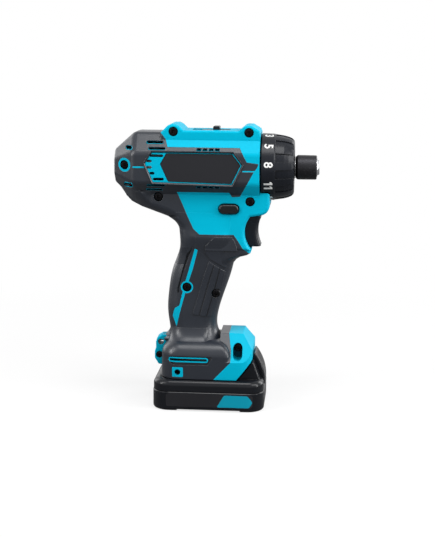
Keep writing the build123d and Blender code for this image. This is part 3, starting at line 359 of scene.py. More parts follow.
# The top edge and the inside are sunk in the grip, and the hem is tucked in and down behind the shoulder.
FLARE_EDGE_SUNK_MM = 0.25
FLARE_SUNK_MM = 1.5
FLARE_HEM_IN_MM = 1.2
FLARE_HEM_DOWN_MM = 1.5
# The flare dies out towards the front of the grip. These are shares of the way out that points forward.
FLARE_ENDS_AT = 0.8
FLARE_FADES_OVER = 0.5
FLARE_LEAST = 0.04
FLARE_STEPS = 12
FLARE_CORNER_STEPS = 10
FLARE_SIDE_STEPS = 5
FLARE_LONG_SIDE_MM = 3.0


def grip_root():
    """Points round the root of the grip in plan, in mm, each with its way out."""
    back, front, half, corner = GRIP_ROOT_MM.values()
    points = []
    for quarter in range(4):
        middle = (quarter + 0.5) * pi / 2
        x = front - corner if cos(middle) > 0 else back + corner
        y = half - corner if sin(middle) > 0 else corner - half
        for k in range(FLARE_CORNER_STEPS + 1):
            turn = (quarter + k / FLARE_CORNER_STEPS) * pi / 2
            out = Vector((cos(turn), sin(turn), 0))
            points.append((Vector((x, y, 0)) + out * corner, out))
    ring = []
    for (here, out), (there, _) in zip(points, points[1:] + points[:1]):
        ring.append((here, out))
        if (there - here).length > FLARE_LONG_SIDE_MM:
            for k in range(1, FLARE_SIDE_STEPS):
                ring.append((here.lerp(there, k / FLARE_SIDE_STEPS), out))
    return ring


def bent(start, pull, end, steps):
    """Points on a quadratic curve from start to end that is pulled towards a point between them."""
    points = []
    for k in range(steps + 1):
        t = k / steps
        points.append(start * (1 - t) ** 2 + pull * 2 * t * (1 - t) + end * t ** 2)
    return points


shell = bmesh.new()
for _, hand in SIDES:
    shell.from_mesh(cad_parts[hand + "_grip_cover"].data)
    shell.from_mesh(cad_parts[hand + "_housing"].data)
shell_tree = BVHTree.FromBMesh(shell)
flare = bmesh.new()
columns = []
for root, out in grip_root():
    far = (root + out * OUTSIDE_MM + Vector((0, 0, FLARE_FOOT_MM))) * MM
    shoulder = shell_tree.ray_cast(far, -out)[0] / MM
    reach = min((shoulder - root).dot(out), FLARE_MOST_MM)
    fade = min(max((FLARE_ENDS_AT - out.x) / FLARE_FADES_OVER, FLARE_LEAST), 1.0)
    edge = Vector((-FLARE_EDGE_SUNK_MM, FLARE_TOP_MM))
    profile = bent(edge, Vector(FLARE_PULL_MM), Vector((reach, FLARE_FOOT_MM)), FLARE_STEPS)
    hem = FLARE_FOOT_MM - FLARE_HEM_DOWN_MM
    profile.append(Vector((reach - FLARE_HEM_IN_MM, hem)))
    profile.append(Vector((-FLARE_SUNK_MM, hem)))
    profile.append(Vector((-FLARE_SUNK_MM, FLARE_TOP_MM)))
    column = []
    for away, z in profile:
        away = (away + FLARE_SUNK_MM) * fade - FLARE_SUNK_MM
        column.append(flare.verts.new((root + out * away + Vector((0, 0, z))) * MM))
    columns.append(column)
banded(flare, columns)
bmesh.ops.remove_doubles(flare, verts=flare.verts, dist=WELD_MM * MM)
flare_data = finished(flare, "grip_flare", sharp_deg=50)
show(flare_data, "grip_flare", "housing", moulded_elastomer)

# Tail fillet
# Under the tail the cover fills the corner between the barrel's facets and the neck, so that the belly
# runs up into the tail without a step. It is part of the same soft moulding.

FILLET_TOP_MM = ((-70.0, 168.0), (-58.0, 167.0), (-49.0, 162.6), (-47.4, 158.0))
FILLET_FOOT_MM = 152.0
FILLET_HALF_MM = 14.0
FILLET_PITCH_MM = 0.8
FILLET_SUNK_MM = 0.04
FILLET_WALL_MM = 0.5
FILLET_CORE_MM = Vector((-52.0, 0.0, 174.0))
# Faces of the hull whose normals point further up or forward than this lie inside the cover.
FILLET_UP = 0.2
FILLET_AHEAD = 0.5

edge_x, edge_z = zip(*FILLET_TOP_MM)
rays = []
for z in np.arange(FILLET_FOOT_MM, max(edge_z), FILLET_PITCH_MM):
    for x in np.arange(edge_x[0], edge_x[-1], FILLET_PITCH_MM):
        rays += [(Vector((x, side * OUTSIDE_MM, z)), Vector((0, -side, 0))) for side, _ in SIDES]
    for y in np.arange(-FILLET_HALF_MM, FILLET_HALF_MM, FILLET_PITCH_MM):
        rays.append((Vector((-OUTSIDE_MM, y, z)), Vector((1, 0, 0))))
fillet = bmesh.new()
for start, way in rays:
    touched = shell_tree.ray_cast(start * MM, way)[0]
    if not touched or touched.x >= edge_x[-1] * MM:
        continue
    if touched.z <= np.interp(touched.x / MM, edge_x, edge_z) * MM:
        fillet.verts.new(touched + way * FILLET_SUNK_MM * MM)
bmesh.ops.convex_hull(fillet, input=fillet.verts[:])
fillet.normal_update()
inner_faces = [f for f in fillet.faces if f.normal.z > FILLET_UP or f.normal.x > FILLET_AHEAD]
bmesh.ops.delete(fillet, geom=inner_faces, context="FACES")
bmesh.ops.delete(fillet, geom=[v for v in fillet.verts if not v.link_faces], context="VERTS")
thickened(fillet, lambda v: (FILLET_CORE_MM * MM - v.co).normalized() * FILLET_WALL_MM * MM)
fillet_data = finished(fillet, "tail_fillet", sharp_deg=30)
show(fillet_data, "tail_fillet", "housing", moulded_elastomer)

# Neck haunch
# Where the neck comes down on the grip the cover is thicker at the two back corners, so that one
# rounded edge runs on from neck to grip. It is part of the same soft moulding.

# Height, back, front, half width and corner radius of each section.
HAUNCH_MM = (
    (146.0, -36.2, -17.5, 18.3, 7.4), (142.0, -30.45, -17.5, 18.42, 7.1),
    (138.0, -27.75, -17.5, 18.5, 6.9), (134.0, -27.1, -17.5, 18.8, 6.9),
    (130.0, -26.7, -17.5, 19.1, 7.1), (126.0, -26.5, -17.5, 18.85, 6.7),
    (122.0, -26.85, -17.5, 18.15, 6.4), (118.0, -28.05, -20.9, 17.6, 8.4),
    (114.0, -29.6, -21.9, 17.4, 10.5), (110.0, -31.1, -22.9, 17.2, 12.0),
    (106.0, -32.3, -23.9, 16.9, 12.6),
)
HAUNCH_STEPS = 4
HAUNCH_CORNER_STEPS = 10


def eased(rows, steps):
    """Rows of numbers with more rows between them, on smooth curves through them all."""
    table = np.array(rows)
    slopes = np.gradient(table, axis=0)
    between = []
    for i in range(len(table) - 1):
        for k in range(steps):
            t = k / steps
            between.append(
                table[i] * (1 + 2 * t) * (1 - t) ** 2 + slopes[i] * t * (1 - t) ** 2
                + table[i + 1] * t * t * (3 - 2 * t) + slopes[i + 1] * t * t * (t - 1)
            )
    return between + [table[-1]]


haunch = bmesh.new()
loops = []
for z, back, front, half, corner in eased(HAUNCH_MM, HAUNCH_STEPS):
    middle_x, middle_y = back + corner, half - corner
    first = asin(min(max((middle_x - front) / corner, 0.0), 1.0))
    quarter = [(max(front, middle_x - corner * sin(first)), middle_y + corner * cos(first))]
    for k in range(HAUNCH_CORNER_STEPS + 1):
        turn = first + (pi / 2 - first) * k / HAUNCH_CORNER_STEPS
        quarter.append((middle_x - corner * sin(turn), middle_y + corner * cos(turn)))
    around = quarter + [(x, -y) for x, y in reversed(quarter)]
    loops.append([haunch.verts.new(Vector((x, y, z)) * MM) for x, y in around])
banded(haunch, loops, closed=False)
haunch.faces.new(loops[0])
haunch.faces.new(loops[-1])
bmesh.ops.remove_doubles(haunch, verts=haunch.verts, dist=WELD_MM * MM)
haunch_data = finished(haunch, "neck_haunch", sharp_deg=40)
show(haunch_data, "neck_haunch", "housing", moulded_elastomer)

# Neck and tail skins
# Between the barrel and the grip the cover and the hard shell beside it run on in one smooth surface. The
# skins are part of those two mouldings and fill the hollows where neck and grip and neck and tail meet.

NECK_SKIN_MM = (
    (-25.3, 138.0), (-28.0, 144.0), (-30.0, 150.0), (0.5, 150.0), (0.5, 147.2), (12.0, 147.2),
    (12.0, 132.1), (-13.5, 132.1), (-14.5, 122.6), (-20.6, 122.6), (-20.9, 118.0), (-21.9, 114.0),
    (-22.9, 110.0), (-28.8, 110.0), (-27.2, 114.0), (-25.5, 118.0),
)
# The edge where the cover stops and the hard shell begins, and the corner that closes the shell's side.
COVER_EDGE_MM = ((-22.0, 150.0), (-20.7, 147.0), (-16.1, 137.3), (-11.5, 133.2), (14.1, 133.2))
SHELL_CORNER_MM = (14.1, 150.0)
TAIL_SKIN_MM = ((-60.0, 165.5), (-47.3, 165.5), (-47.3, 156.0), (-52.0, 156.0), (-60.0, 160.0))
SKIN_PITCH_MM = 0.5
SKIN_ROUNDS = 6000
NECK_FADE_MM = 9.0
TAIL_FADE_MM = 0.6
SKIN_LIFT_MM = 0.03
SKIN_MM = 0.5


def inside(x, z, outline):
    """Whether a point is inside an outline of (x, z) points."""
    odd = False
    for (x1, z1), (x2, z2) in zip(outline, outline[1:] + outline[:1]):
        if (z1 > z) != (z2 > z) and x < x1 + (z - z1) / (z2 - z1) * (x2 - x1):
            odd = not odd
    return odd


def stretched(tree, outline, side, fade_mm):
    """A sheet inside an outline, stretched over one side of a surface so that it spans the hollows."""
    low_x, high_x = min(x for x, _ in outline), max(x for x, _ in outline)
    low_z, high_z = min(z for _, z in outline), max(z for _, z in outline)
    xs = np.arange(low_x, high_x, SKIN_PITCH_MM)
    zs = np.arange(low_z, high_z + SKIN_PITCH_MM / 2, SKIN_PITCH_MM)
    under = np.full((len(xs), len(zs)), np.nan)
    for i, x in enumerate(xs):
        for k, z in enumerate(zs):
            if inside(x, z, outline):
                far = Vector((x, side * OUTSIDE_MM, z)) * MM
                under[i, k] = abs(tree.ray_cast(far, Vector((0, -side, 0)))[0].y) / MM
    film = under.copy()
    core, floor_level = film[1:-1, 1:-1], under[1:-1, 1:-1]
    for _ in range(SKIN_ROUNDS):
        mean = (film[:-2, 1:-1] + film[2:, 1:-1] + film[1:-1, :-2] + film[1:-1, 2:]) / 4
        np.copyto(core, np.maximum(mean, floor_level), where=~np.isnan(mean) & ~np.isnan(floor_level))
    fade = np.clip((high_z - zs) / fade_mm, 0, 1)
    film = under + (film - under) * (fade * fade * (3 - 2 * fade))
    sheet = bmesh.new()
    verts = {}
    for i, k in zip(*np.nonzero(~np.isnan(film))):
        verts[i, k] = sheet.verts.new(Vector((xs[i], side * (film[i, k] + SKIN_LIFT_MM), zs[k])) * MM)
    for i, k in verts:
        corners = [(i, k), (i + 1, k), (i + 1, k + 1), (i, k + 1)]
        if all(corner in verts for corner in corners):
            sheet.faces.new([verts[corner] for corner in corners])
    return sheet


def lay(sheet, name, side, material):
    """Gives a stretched sheet its thickness and shows it on the housing."""
    thickened(sheet, lambda v: Vector((0, -side * SKIN_MM * MM, 0)))
    show(finished(sheet, name, sharp_deg=40), name, "housing", material)


shell.from_mesh(haunch_data)
shell.from_mesh(fillet_data)
shell_tree = BVHTree.FromBMesh(shell)
shell.free()
shell_side = COVER_EDGE_MM + (SHELL_CORNER_MM,)
for side, hand in SIDES:
    skin = stretched(shell_tree, NECK_SKIN_MM, side, NECK_FADE_MM)
    for (x1, z1), (x2, z2) in zip(COVER_EDGE_MM, COVER_EDGE_MM[1:]):
        everything = skin.verts[:] + skin.edges[:] + skin.faces[:]
        bmesh.ops.bisect_plane(
            skin, geom=everything, plane_co=(x1 * MM, 0, z1 * MM), plane_no=(z2 - z1, 0, x1 - x2)
        )
    for label, slot, material, hard in (
        ("_neck_skin", "grip_rubber", moulded_elastomer, False),
        ("_shell_skin", "cyan_nylon", glass_filled_nylon, True),
    ):
        part = skin.copy()
        other = []
        for face in part.faces:
            middle = face.calc_center_median() / MM
            if inside(middle.x, middle.z, shell_side) != hard:
                other.append(face)
        bmesh.ops.delete(part, geom=other, context="FACES")
        lay(part, hand + label, side, material)
    skin.free()
    tail = stretched(shell_tree, TAIL_SKIN_MM, side, TAIL_FADE_MM)
    lay(tail, hand + "_tail_skin", side, moulded_elastomer)

# Rating plate
# A thin polycarbonate film with a hard lacquer. It is die-cut to fit the window on the right side of the
# barrel and stuck down in it.

PLATE_GREY = "#1A1B20"
# Polycarbonate film, lacquered: darker and a little glossier than the elastomer round it.
lacquered_film = moulded(
    "polycarbonate_film", PLATE_GREY, "#3A3A40", roughness=0.34, ior=1.58, grain_mm=0.7, depth_mm=0.01,
    edge_mm=0.2, specular=0.26,
)
dress(lacquered_film, "nameplate")

# Housing screws
# Nine thread-forming steel screws with six-lobed heads, blackened, sunk in pockets on the right side.
# The heads sit on the seats of the pockets; the one in the lanyard lug is shorter.

SCREW_PLACES_MM = (
    (-67.8, -14.5, 184.6), (-31.6, -15.5, 209.6), (24.6, -15.5, 209.4), (-42.5, -15.8, 161.0),
    (26.1, -15.8, 158.4), (-21.0, -13.6, 92.4), (1.1, -13.6, 87.9), (18.3, -14.0, 46.4),
)
LUG_SCREW_PLACE_MM = (-43.2, -3.4, 36.9)
SCREW_LENGTH_MM = 18.0
LUG_SCREW_LENGTH_MM = 7.0
HEAD_RADIUS_MM = 3.2
LUG_HEAD_RADIUS_MM = 2.4
RECESS_RADIUS_MM = 1.19
LOBE_MM = 0.18
LOBES = 6
SHANK_RADIUS_MM = 1.5
TIP_RADIUS_MM = 0.7
TIP_MM = 1.2
SCREW_STEPS = 48
OXIDE_WORN = "#55555A"
MOTTLE_MM = 1.2
MOTTLE_DEPTH_MM = 0.01


def grown(tree, data, settings):
    """The plain mesh that a Geometry Nodes tree makes of a mesh, with its inputs set by identifier."""
    carrier = bpy.data.objects.new("carrier", data)
    bpy.context.scene.collection.objects.link(carrier)
    modifier = carrier.modifiers.new("grow", "NODES")
    modifier.node_group = tree
    for item in tree.interface.items_tree:
        if item.item_type == "SOCKET" and item.in_out == "INPUT" and item.name in settings:
            modifier[item.identifier] = settings[item.name]
    graph = bpy.context.evaluated_depsgraph_get()
    mesh = bpy.data.meshes.new_from_object(carrier.evaluated_get(graph))
    bpy.data.objects.remove(carrier)
    return mesh


def new_tree(name, inputs):
    """A Geometry Nodes tree with named inputs, and the nodes at its two ends."""
    tree = bpy.data.node_groups.new(name, "GeometryNodeTree")
    tree.interface.new_socket("Geometry", in_out="INPUT", socket_type="NodeSocketGeometry")
    for label, kind in inputs:
        tree.interface.new_socket(label, in_out="INPUT", socket_type=kind)
    tree.interface.new_socket("Geometry", in_out="OUTPUT", socket_type="NodeSocketGeometry")
    return tree, add(tree, "NodeGroupInput"), add(tree, "NodeGroupOutput")


def screw(length_mm, head_mm):
    """One screw with its seat at the origin and its head towards -Y, as rings from recess to tip."""
    grow = head_mm / HEAD_RADIUS_MM
    recess, lobe = RECESS_RADIUS_MM * grow, LOBE_MM * grow
    # The radius of each ring, how far its lobes stand out and its height over the seat.
    rings = (
        (recess - 0.12 * grow, lobe, 0.7), (recess, lobe, 2.05), (recess + 0.14 * grow, lobe, 2.2),
        (head_mm - 0.65, 0, 2.2), (head_mm - 0.3, 0, 2.08), (head_mm - 0.08, 0, 1.8), (head_mm, 0, 1.4),
        (head_mm, 0, 0), (SHANK_RADIUS_MM, 0, 0), (SHANK_RADIUS_MM, 0, TIP_MM - length_mm),
        (TIP_RADIUS_MM, 0, -length_mm),
    )
    mesh = bmesh.new()
    loops = []
    for radius, lobe_height, rise in rings:
        loop = []
        for i in range(SCREW_STEPS):
            turn = 2 * pi * i / SCREW_STEPS
            r = radius + lobe_height * cos(LOBES * turn)
            loop.append(mesh.verts.new(Vector((r * cos(turn), -rise, r * sin(turn))) * MM))
        loops.append(loop)
    banded(mesh, loops, closed=False)
    mesh.faces.new(loops[0])
    mesh.faces.new(loops[-1])
    return finished(mesh, "screw", sharp_deg=35)


def blackened(name, colour, roughness):
    """Steel blackened in a hot salt bath: a thin dark oxide over a turned or rolled surface."""
    material, tree = blank_material(name)
    place = add(tree, "ShaderNodeTexCoord").outputs["Object"]
    mottle = add(
        tree, "ShaderNodeTexNoise", {"Scale": 1 / (MOTTLE_MM * MM), "Detail": 4.0}, {"Vector": place}
    )
    worn = add(
        tree, "ShaderNodeMapRange", {"From Min": 0.55, "From Max": 0.85, "To Max": 0.5},
        {"Value": mottle.outputs["Fac"]},
    )
    tint = add(
        tree, "ShaderNodeMix", {"data_type": "RGBA", 6: linear(colour), 7: linear(OXIDE_WORN)},
        {0: worn.outputs[0]},
    )
    gloss = add(
        tree, "ShaderNodeMapRange", {"To Min": roughness - 0.08, "To Max": roughness + 0.08},
        {"Value": mottle.outputs["Fac"]},
    )
    bump = add(
        tree, "ShaderNodeBump", {"Strength": 0.3, "Distance": MOTTLE_DEPTH_MM * MM},
        {"Height": mottle.outputs["Fac"]},
    )
    shader = add(
        tree, "ShaderNodeBsdfPrincipled", {"Metallic": 0.85},
        {"Base Color": tint.outputs[2], "Roughness": gloss.outputs[0], "Normal": bump.outputs[0]},
    )
    add(tree, "ShaderNodeOutputMaterial", {}, {"Surface": shader.outputs[0]})
    return material


# Blackened steel: nearly black, with a dull sheen and a faint mottle.
blackened_steel = blackened("blackened_steel", "#0E0E10", roughness=0.38)

screw_tree, screw_in, screw_out = new_tree(
    "screws_on_seats", (("Screws", "NodeSocketCollection"), ("Finish", "NodeSocketMaterial"))
)
kinds = add(
    screw_tree, "GeometryNodeCollectionInfo", {"Separate Children": True, "Reset Children": True},
    {"Collection": screw_in.outputs["Screws"]},
)
kind_index = add(screw_tree, "GeometryNodeInputNamedAttribute", {"data_type": "INT", "Name": "kind"})
set_screws = add(
    screw_tree, "GeometryNodeInstanceOnPoints", {"Pick Instance": True},
    {"Points": screw_in.outputs["Geometry"], "Instance": kinds.outputs[0],
     "Instance Index": kind_index.outputs[0]},
)
real_screws = add(screw_tree, "GeometryNodeRealizeInstances", {}, {"Geometry": set_screws.outputs[0]})
black_screws = add(
    screw_tree, "GeometryNodeSetMaterial", {},
    {"Geometry": real_screws.outputs[0], "Material": screw_in.outputs["Finish"]},
)
screw_tree.links.new(black_screws.outputs[0], screw_out.inputs[0])

screw_kinds = bpy.data.collections.new("screw_kinds")
for label, length, head in (
    ("a_long", SCREW_LENGTH_MM, HEAD_RADIUS_MM), ("b_short", LUG_SCREW_LENGTH_MM, LUG_HEAD_RADIUS_MM)
):
    screw_kinds.objects.link(bpy.data.objects.new(label, screw(length, head)))
seats = bpy.data.meshes.new("screw_seats")
seats.from_pydata([Vector(p) * MM for p in (*SCREW_PLACES_MM, LUG_SCREW_PLACE_MM)], [], [])
kind = seats.attributes.new("kind", "INT", "POINT")
kind.data.foreach_set("value", [0] * len(SCREW_PLACES_MM) + [1])
screws = grown(screw_tree, seats, {"Screws": screw_kinds, "Finish": blackened_steel})
for label in ("a_long", "b_short"):
    bpy.data.objects.remove(bpy.data.objects[label])
bpy.data.collections.remove(screw_kinds)
screw_set = show(screws, "six_lobe_screws", "housing")
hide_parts("housing_screws")

# Trigger, reversing lever and speed lever
# Black nylon mouldings. The trigger slides in the switch, the reversing bar is pushed through from side
# to side, and the speed lever runs in a slot of the top rail and drags the shift fork under it.

NYLON_BLACK = "#1A1D23"
# Black nylon: satin, a shade darker than the elastomer.
black_nylon = moulded(
    "black_nylon", NYLON_BLACK, "#34343A", roughness=0.26, ior=1.53, grain_mm=0.7, depth_mm=0.012,
    edge_mm=0.35, specular=0.16,
)
dress(black_nylon, "trigger", "speed_lever", "switch_body")
# The reversing bar comes from a polished tool and shines.
glossy_nylon = moulded(
    "glossy_nylon", "#0A0B0E", "#26272C", roughness=0.1, ior=1.53, grain_mm=0.7, depth_mm=0.004,
    edge_mm=0.35,
)
dress(glossy_nylon, "reversing_lever")

# Lamp
# A clear polycarbonate lens, injection moulded and pressed into the housing under the nose. Behind it
# is a small lacquered board with the lamp chip.

FLOW_MM = 2.0
FLOW_DEPTH_MM = 0.05
# Clear polycarbonate: glossy and see-through, with faint waves where it flowed in.
clear_lens, lens_tree = blank_material("clear_polycarbonate")
lens_place = add(lens_tree, "ShaderNodeTexCoord").outputs["Object"]
lens_flow = add(lens_tree, "ShaderNodeTexNoise", {"Scale": 1 / (FLOW_MM * MM)}, {"Vector": lens_place})
lens_bump = add(
    lens_tree, "ShaderNodeBump", {"Strength": 0.2, "Distance": FLOW_DEPTH_MM * MM},
    {"Height": lens_flow.outputs["Fac"]},
)
lens_shader = add(
    lens_tree, "ShaderNodeBsdfPrincipled",
    {"Base Color": linear("#F2F6F8"), "Roughness": 0.08, "IOR": 1.586, "Transmission Weight": 0.9},
    {"Normal": lens_bump.outputs[0]},
)
add(lens_tree, "ShaderNodeOutputMaterial", {}, {"Surface": lens_shader.outputs[0]})
dress(clear_lens, "lamp_lens")
# Lacquered glass-fibre board: green and glossy over the weave.
board_lacquer = moulded(
    "board_lacquer", "#1D5B3A", "#4F9A72", roughness=0.3, ior=1.5, grain_mm=1.5, depth_mm=0.02,
    edge_mm=0.2,
)
dress(board_lacquer, "lamp_board", "battery_board")

# Torque ring
# A black nylon ring that turns on the gearbox nose: a smooth band with white numbers behind, twelve
# shallow grooves for the fingers in front. The numbers are printed on with white ink.

RING_AXIS = Vector((0, 0, 183.0 * MM))
BAND_RADIUS_MM = 25.2
BAND_BACK_MM = 34.2
BAND_TAPER = 0.0326
NUMBER_X_MM = 39.4
NUMBER_HEIGHT_MM = 6.4
# The height of a digit as a share of the font's size, and how much bolder it is drawn.
DIGIT_SHARE = 0.72
DIGIT_BOLD_MM = 0.2
DIGIT_STEPS = 6
DIGIT_WIDTH_MM = 5.0
ONE_WIDTH_MM = 3.8
ONE_MM = ((1.15, -3.2), (1.15, 3.2), (0.05, 3.2), (-1.3, 2.3), (-1.3, 0.9), (-0.3, 1.5), (-0.3, -3.2))
# Each number and its angle round the ring in degrees, from the right side upwards.
NUMBERS = (
    ("1", 108), ("3", 72), ("5", 42), ("8", 8), ("11", -29), ("14", -65), ("17", -101), ("20", -137),
)
BEND_PITCH_MM = 0.6
BEND_CUTS = 9
INK_MM = 0.08
INK_SUNK_MM = 0.02
INK_WEAR_MM = 0.9

# Black nylon polished by the fingers: smoother than the other mouldings.
ring_nylon = moulded(
    "polished_nylon", "#161920", "#34363C", roughness=0.28, ior=1.53, grain_mm=0.7, depth_mm=0.015,
    edge_mm=0.35, specular=0.2,
)
dress(ring_nylon, "clutch_ring", "spring_retainer")


def band_radius(x):
    """Radius of the ring's smooth band, in mm, at a place along the axis."""
    return BAND_RADIUS_MM - BAND_TAPER * (x - BAND_BACK_MM)


def digit(character):
    """One flat digit round its own middle, in mm. The 1 has its own outline, the rest are from a font."""
    mesh = bmesh.new()
    if character == "1":
        mesh.faces.new([mesh.verts.new((x, y, 0)) for x, y in ONE_MM])
        return mesh
    letter = bpy.data.curves.new("digit", "FONT")
    letter.body = character
    letter.size = NUMBER_HEIGHT_MM / DIGIT_SHARE
    letter.offset = DIGIT_BOLD_MM
    letter.resolution_u = DIGIT_STEPS
    holder = bpy.data.objects.new("digit", letter)
    bpy.context.scene.collection.objects.link(holder)
    graph = bpy.context.evaluated_depsgraph_get()
    mesh.from_mesh(bpy.data.meshes.new_from_object(holder.evaluated_get(graph)))
    bpy.data.objects.remove(holder)
    bmesh.ops.remove_doubles(mesh, verts=mesh.verts, dist=WELD_MM)
    for axis in (0, 1):
        places = [v.co[axis] for v in mesh.verts]
        middle = (min(places) + max(places)) / 2
        for v in mesh.verts:
            v.co[axis] -= middle
    return mesh


def join(whole, one):
    """Adds one bmesh to another and frees it."""
    part = bpy.data.meshes.new("part")
    one.to_mesh(part)
    one.free()
    whole.from_mesh(part)
    bpy.data.meshes.remove(part)


def number(text, angle):
    """A printed number, bent round the band, with its top forward."""
    mesh = bmesh.new()
    widths = [ONE_WIDTH_MM if character == "1" else DIGIT_WIDTH_MM for character in text]
    place = -sum(widths) / 2
    for character, width in zip(text, widths):
        one = digit(character)
        bmesh.ops.translate(one, verts=one.verts, vec=(place + width / 2, 0, 0))
        join(mesh, one)
        place += width
    for i in range(-BEND_CUTS, BEND_CUTS + 1):
        everything = mesh.verts[:] + mesh.edges[:] + mesh.faces[:]
        cut = (BEND_PITCH_MM * i, 0, 0)
        bmesh.ops.bisect_plane(mesh, geom=everything, plane_co=cut, plane_no=(1, 0, 0))
    thickened(mesh, lambda v: Vector((0, 0, INK_MM)))
    for v in mesh.verts:
        x = NUMBER_X_MM + v.co.y
        turn = radians(angle) - v.co.x / band_radius(x)
        r = band_radius(x) + v.co.z - INK_SUNK_MM
        v.co = RING_AXIS + Vector((x, -r * cos(turn), r * sin(turn))) * MM
    return mesh


# Pad-printed ink: matt white, worn a little thin in places.
white_ink, ink_tree = blank_material("white_pad_print_ink")
ink_place = add(ink_tree, "ShaderNodeTexCoord").outputs["Object"]
ink_wear = add(
    ink_tree, "ShaderNodeTexNoise", {"Scale": 1 / (INK_WEAR_MM * MM), "Detail": 3.0},
    {"Vector": ink_place},
)
ink_thin = add(
    ink_tree, "ShaderNodeMapRange", {"From Min": 0.62, "From Max": 0.8, "To Max": 0.35},
    {"Value": ink_wear.outputs["Fac"]},
)
ink_tint = add(
    ink_tree, "ShaderNodeMix", {"data_type": "RGBA", 6: linear("#F0F0EE"), 7: linear("#9A9A9C")},
    {0: ink_thin.outputs[0]},
)
ink_shader = add(
    ink_tree, "ShaderNodeBsdfPrincipled", {"Roughness": 0.5, "IOR": 1.5},
    {"Base Color": ink_tint.outputs[2]},
)
add(ink_tree, "ShaderNodeOutputMaterial", {}, {"Surface": ink_shader.outputs[0]})

all_numbers = bmesh.new()
for text, angle in NUMBERS:
    join(all_numbers, number(text, angle))
show(finished(all_numbers, "torque_numbers"), "torque_numbers", "clutch_ring", white_ink)

# Gearbox and torque clutch
# Sintered steel gears in a die-cast case, with hardened steel balls, springs and plates. They hardly
# show, only through the vents and when the ring or lever is moved.


def bare_metal(name, colour, roughness, grain_mm, depth_mm):
    """A metal surface with the fine pits or marks of how it was made."""
    material, tree = blank_material(name)
    place = add(tree, "ShaderNodeTexCoord").outputs["Object"]
    pits = add(
        tree, "ShaderNodeTexNoise", {"Scale": 1 / (grain_mm * MM), "Detail": 4.0}, {"Vector": place}
    )
    gloss = add(
        tree, "ShaderNodeMapRange", {"To Min": roughness - 0.1, "To Max": roughness + 0.1},
        {"Value": pits.outputs["Fac"]},
    )
    bump = add(
        tree, "ShaderNodeBump", {"Strength": 0.5, "Distance": depth_mm * MM},
        {"Height": pits.outputs["Fac"]},
    )
    shader = add(
        tree, "ShaderNodeBsdfPrincipled", {"Base Color": linear(colour), "Metallic": 1.0},
        {"Roughness": gloss.outputs[0], "Normal": bump.outputs[0]},
    )
    add(tree, "ShaderNodeOutputMaterial", {}, {"Surface": shader.outputs[0]})
    return material


# Sintered steel is grey and finely pitted, die-cast zinc is paler with a coarse skin, and hardened steel
# is ground bright.
sintered_steel = bare_metal("sintered_steel", "#8E8E92", roughness=0.5, grain_mm=0.4, depth_mm=0.03)
die_cast_zinc = bare_metal("die_cast_zinc", "#A5A7AA", roughness=0.55, grain_mm=1.2, depth_mm=0.04)
hardened_steel = bare_metal("hardened_steel", "#C4C5C8", roughness=0.26, grain_mm=0.6, depth_mm=0.005)
planets = [f"planet_{stage}{place}" for stage in (1, 2, 3) for place in "abc"]
dress(sintered_steel, "ring_gear_1", "sliding_ring_gear", "clutch_ring_gear", "carrier_1", "carrier_2")
dress(sintered_steel, *planets)
dress(die_cast_zinc, "gear_case")
dress(hardened_steel, "gearbox_end_plate", "shift_fork", "clutch_balls")
dress(hardened_steel, "clutch_spring", "trigger_spring")


def coil(node):
    """A copy of a coil spring shown in its place, with the CAD node hidden."""
    spring = bpy.data.objects.new("wound_" + node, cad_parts[node].data.copy())
    bpy.context.scene.collection.objects.link(spring)
    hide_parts(node)
    return spring


def pressed_between(node):
    """A copy of a coil spring with its place baked into its mesh."""
    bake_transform(coil(node))


clutch_coil = coil("clutch_spring")
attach(clutch_coil, "housing")
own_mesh(clutch_coil)
pressed_between("trigger_spring")
dress(blackened_steel, "ring_keeper")

# Quick-change chuck
# The spindle nose is turned steel with a hexagon socket. A blackened sleeve slides on it against a
# spring and frees the ball that locks the bit; a snap ring keeps the sleeve on.

# Blackened sleeve steel: a paler, more rubbed black than the screws.
sleeve_steel = blackened("sleeve_steel", "#2A2A2D", roughness=0.45)
dress(sleeve_steel, "chuck_sleeve")
dress(hardened_steel, "spindle", "bit_ball", "sleeve_spring", "snap_ring")
pressed_between("sleeve_spring")

# Gap shade ring
# A near-black ring on the spindle between the torque ring's nose and the sleeve: painted shade that
# darkens the gap where the bright spindle would show.

GAP_SHADE_RINGS_MM = ((57.6, 6.54), (57.6, 8.3), (57.8, 8.5), (58.5, 8.5), (58.7, 8.3), (58.7, 6.54))
GAP_SHADE_STEPS = 64


def turned(profile, steps, name):
    """A closed ring turned round the spindle's axis from a profile of (x, radius) points in mm."""
    mesh = bmesh.new()
    turns = [2 * pi * i / steps for i in range(steps)]
    loops = []
    for x, r in profile:
        circle = [RING_AXIS + Vector((x, r * cos(t), r * sin(t))) * MM for t in turns]
        loops.append([mesh.verts.new(point) for point in circle])
    banded(mesh, loops)
    return finished(mesh, name, sharp_deg=40)


# Near-black and dull, as painted shade in the gap, with a fibrous mottle about 0.6 mm wide.
gap_shade_black = moulded(
    "gap_shade_black", "#141414", "#242424", roughness=0.85, ior=1.46, grain_mm=0.6, depth_mm=0.06,
    edge_mm=0.1, specular=0.1,
)
gap_shade = turned(GAP_SHADE_RINGS_MM, GAP_SHADE_STEPS, "dust_wiper")
show(gap_shade, "dust_wiper", "spindle", gap_shade_black)

# Motor and electrics
# A two-brush can motor with a fan, held in ribs of the housing. Brass blades under the foot meet the
# battery's clips, and red leads run up the grip to the switch and on to the motor.

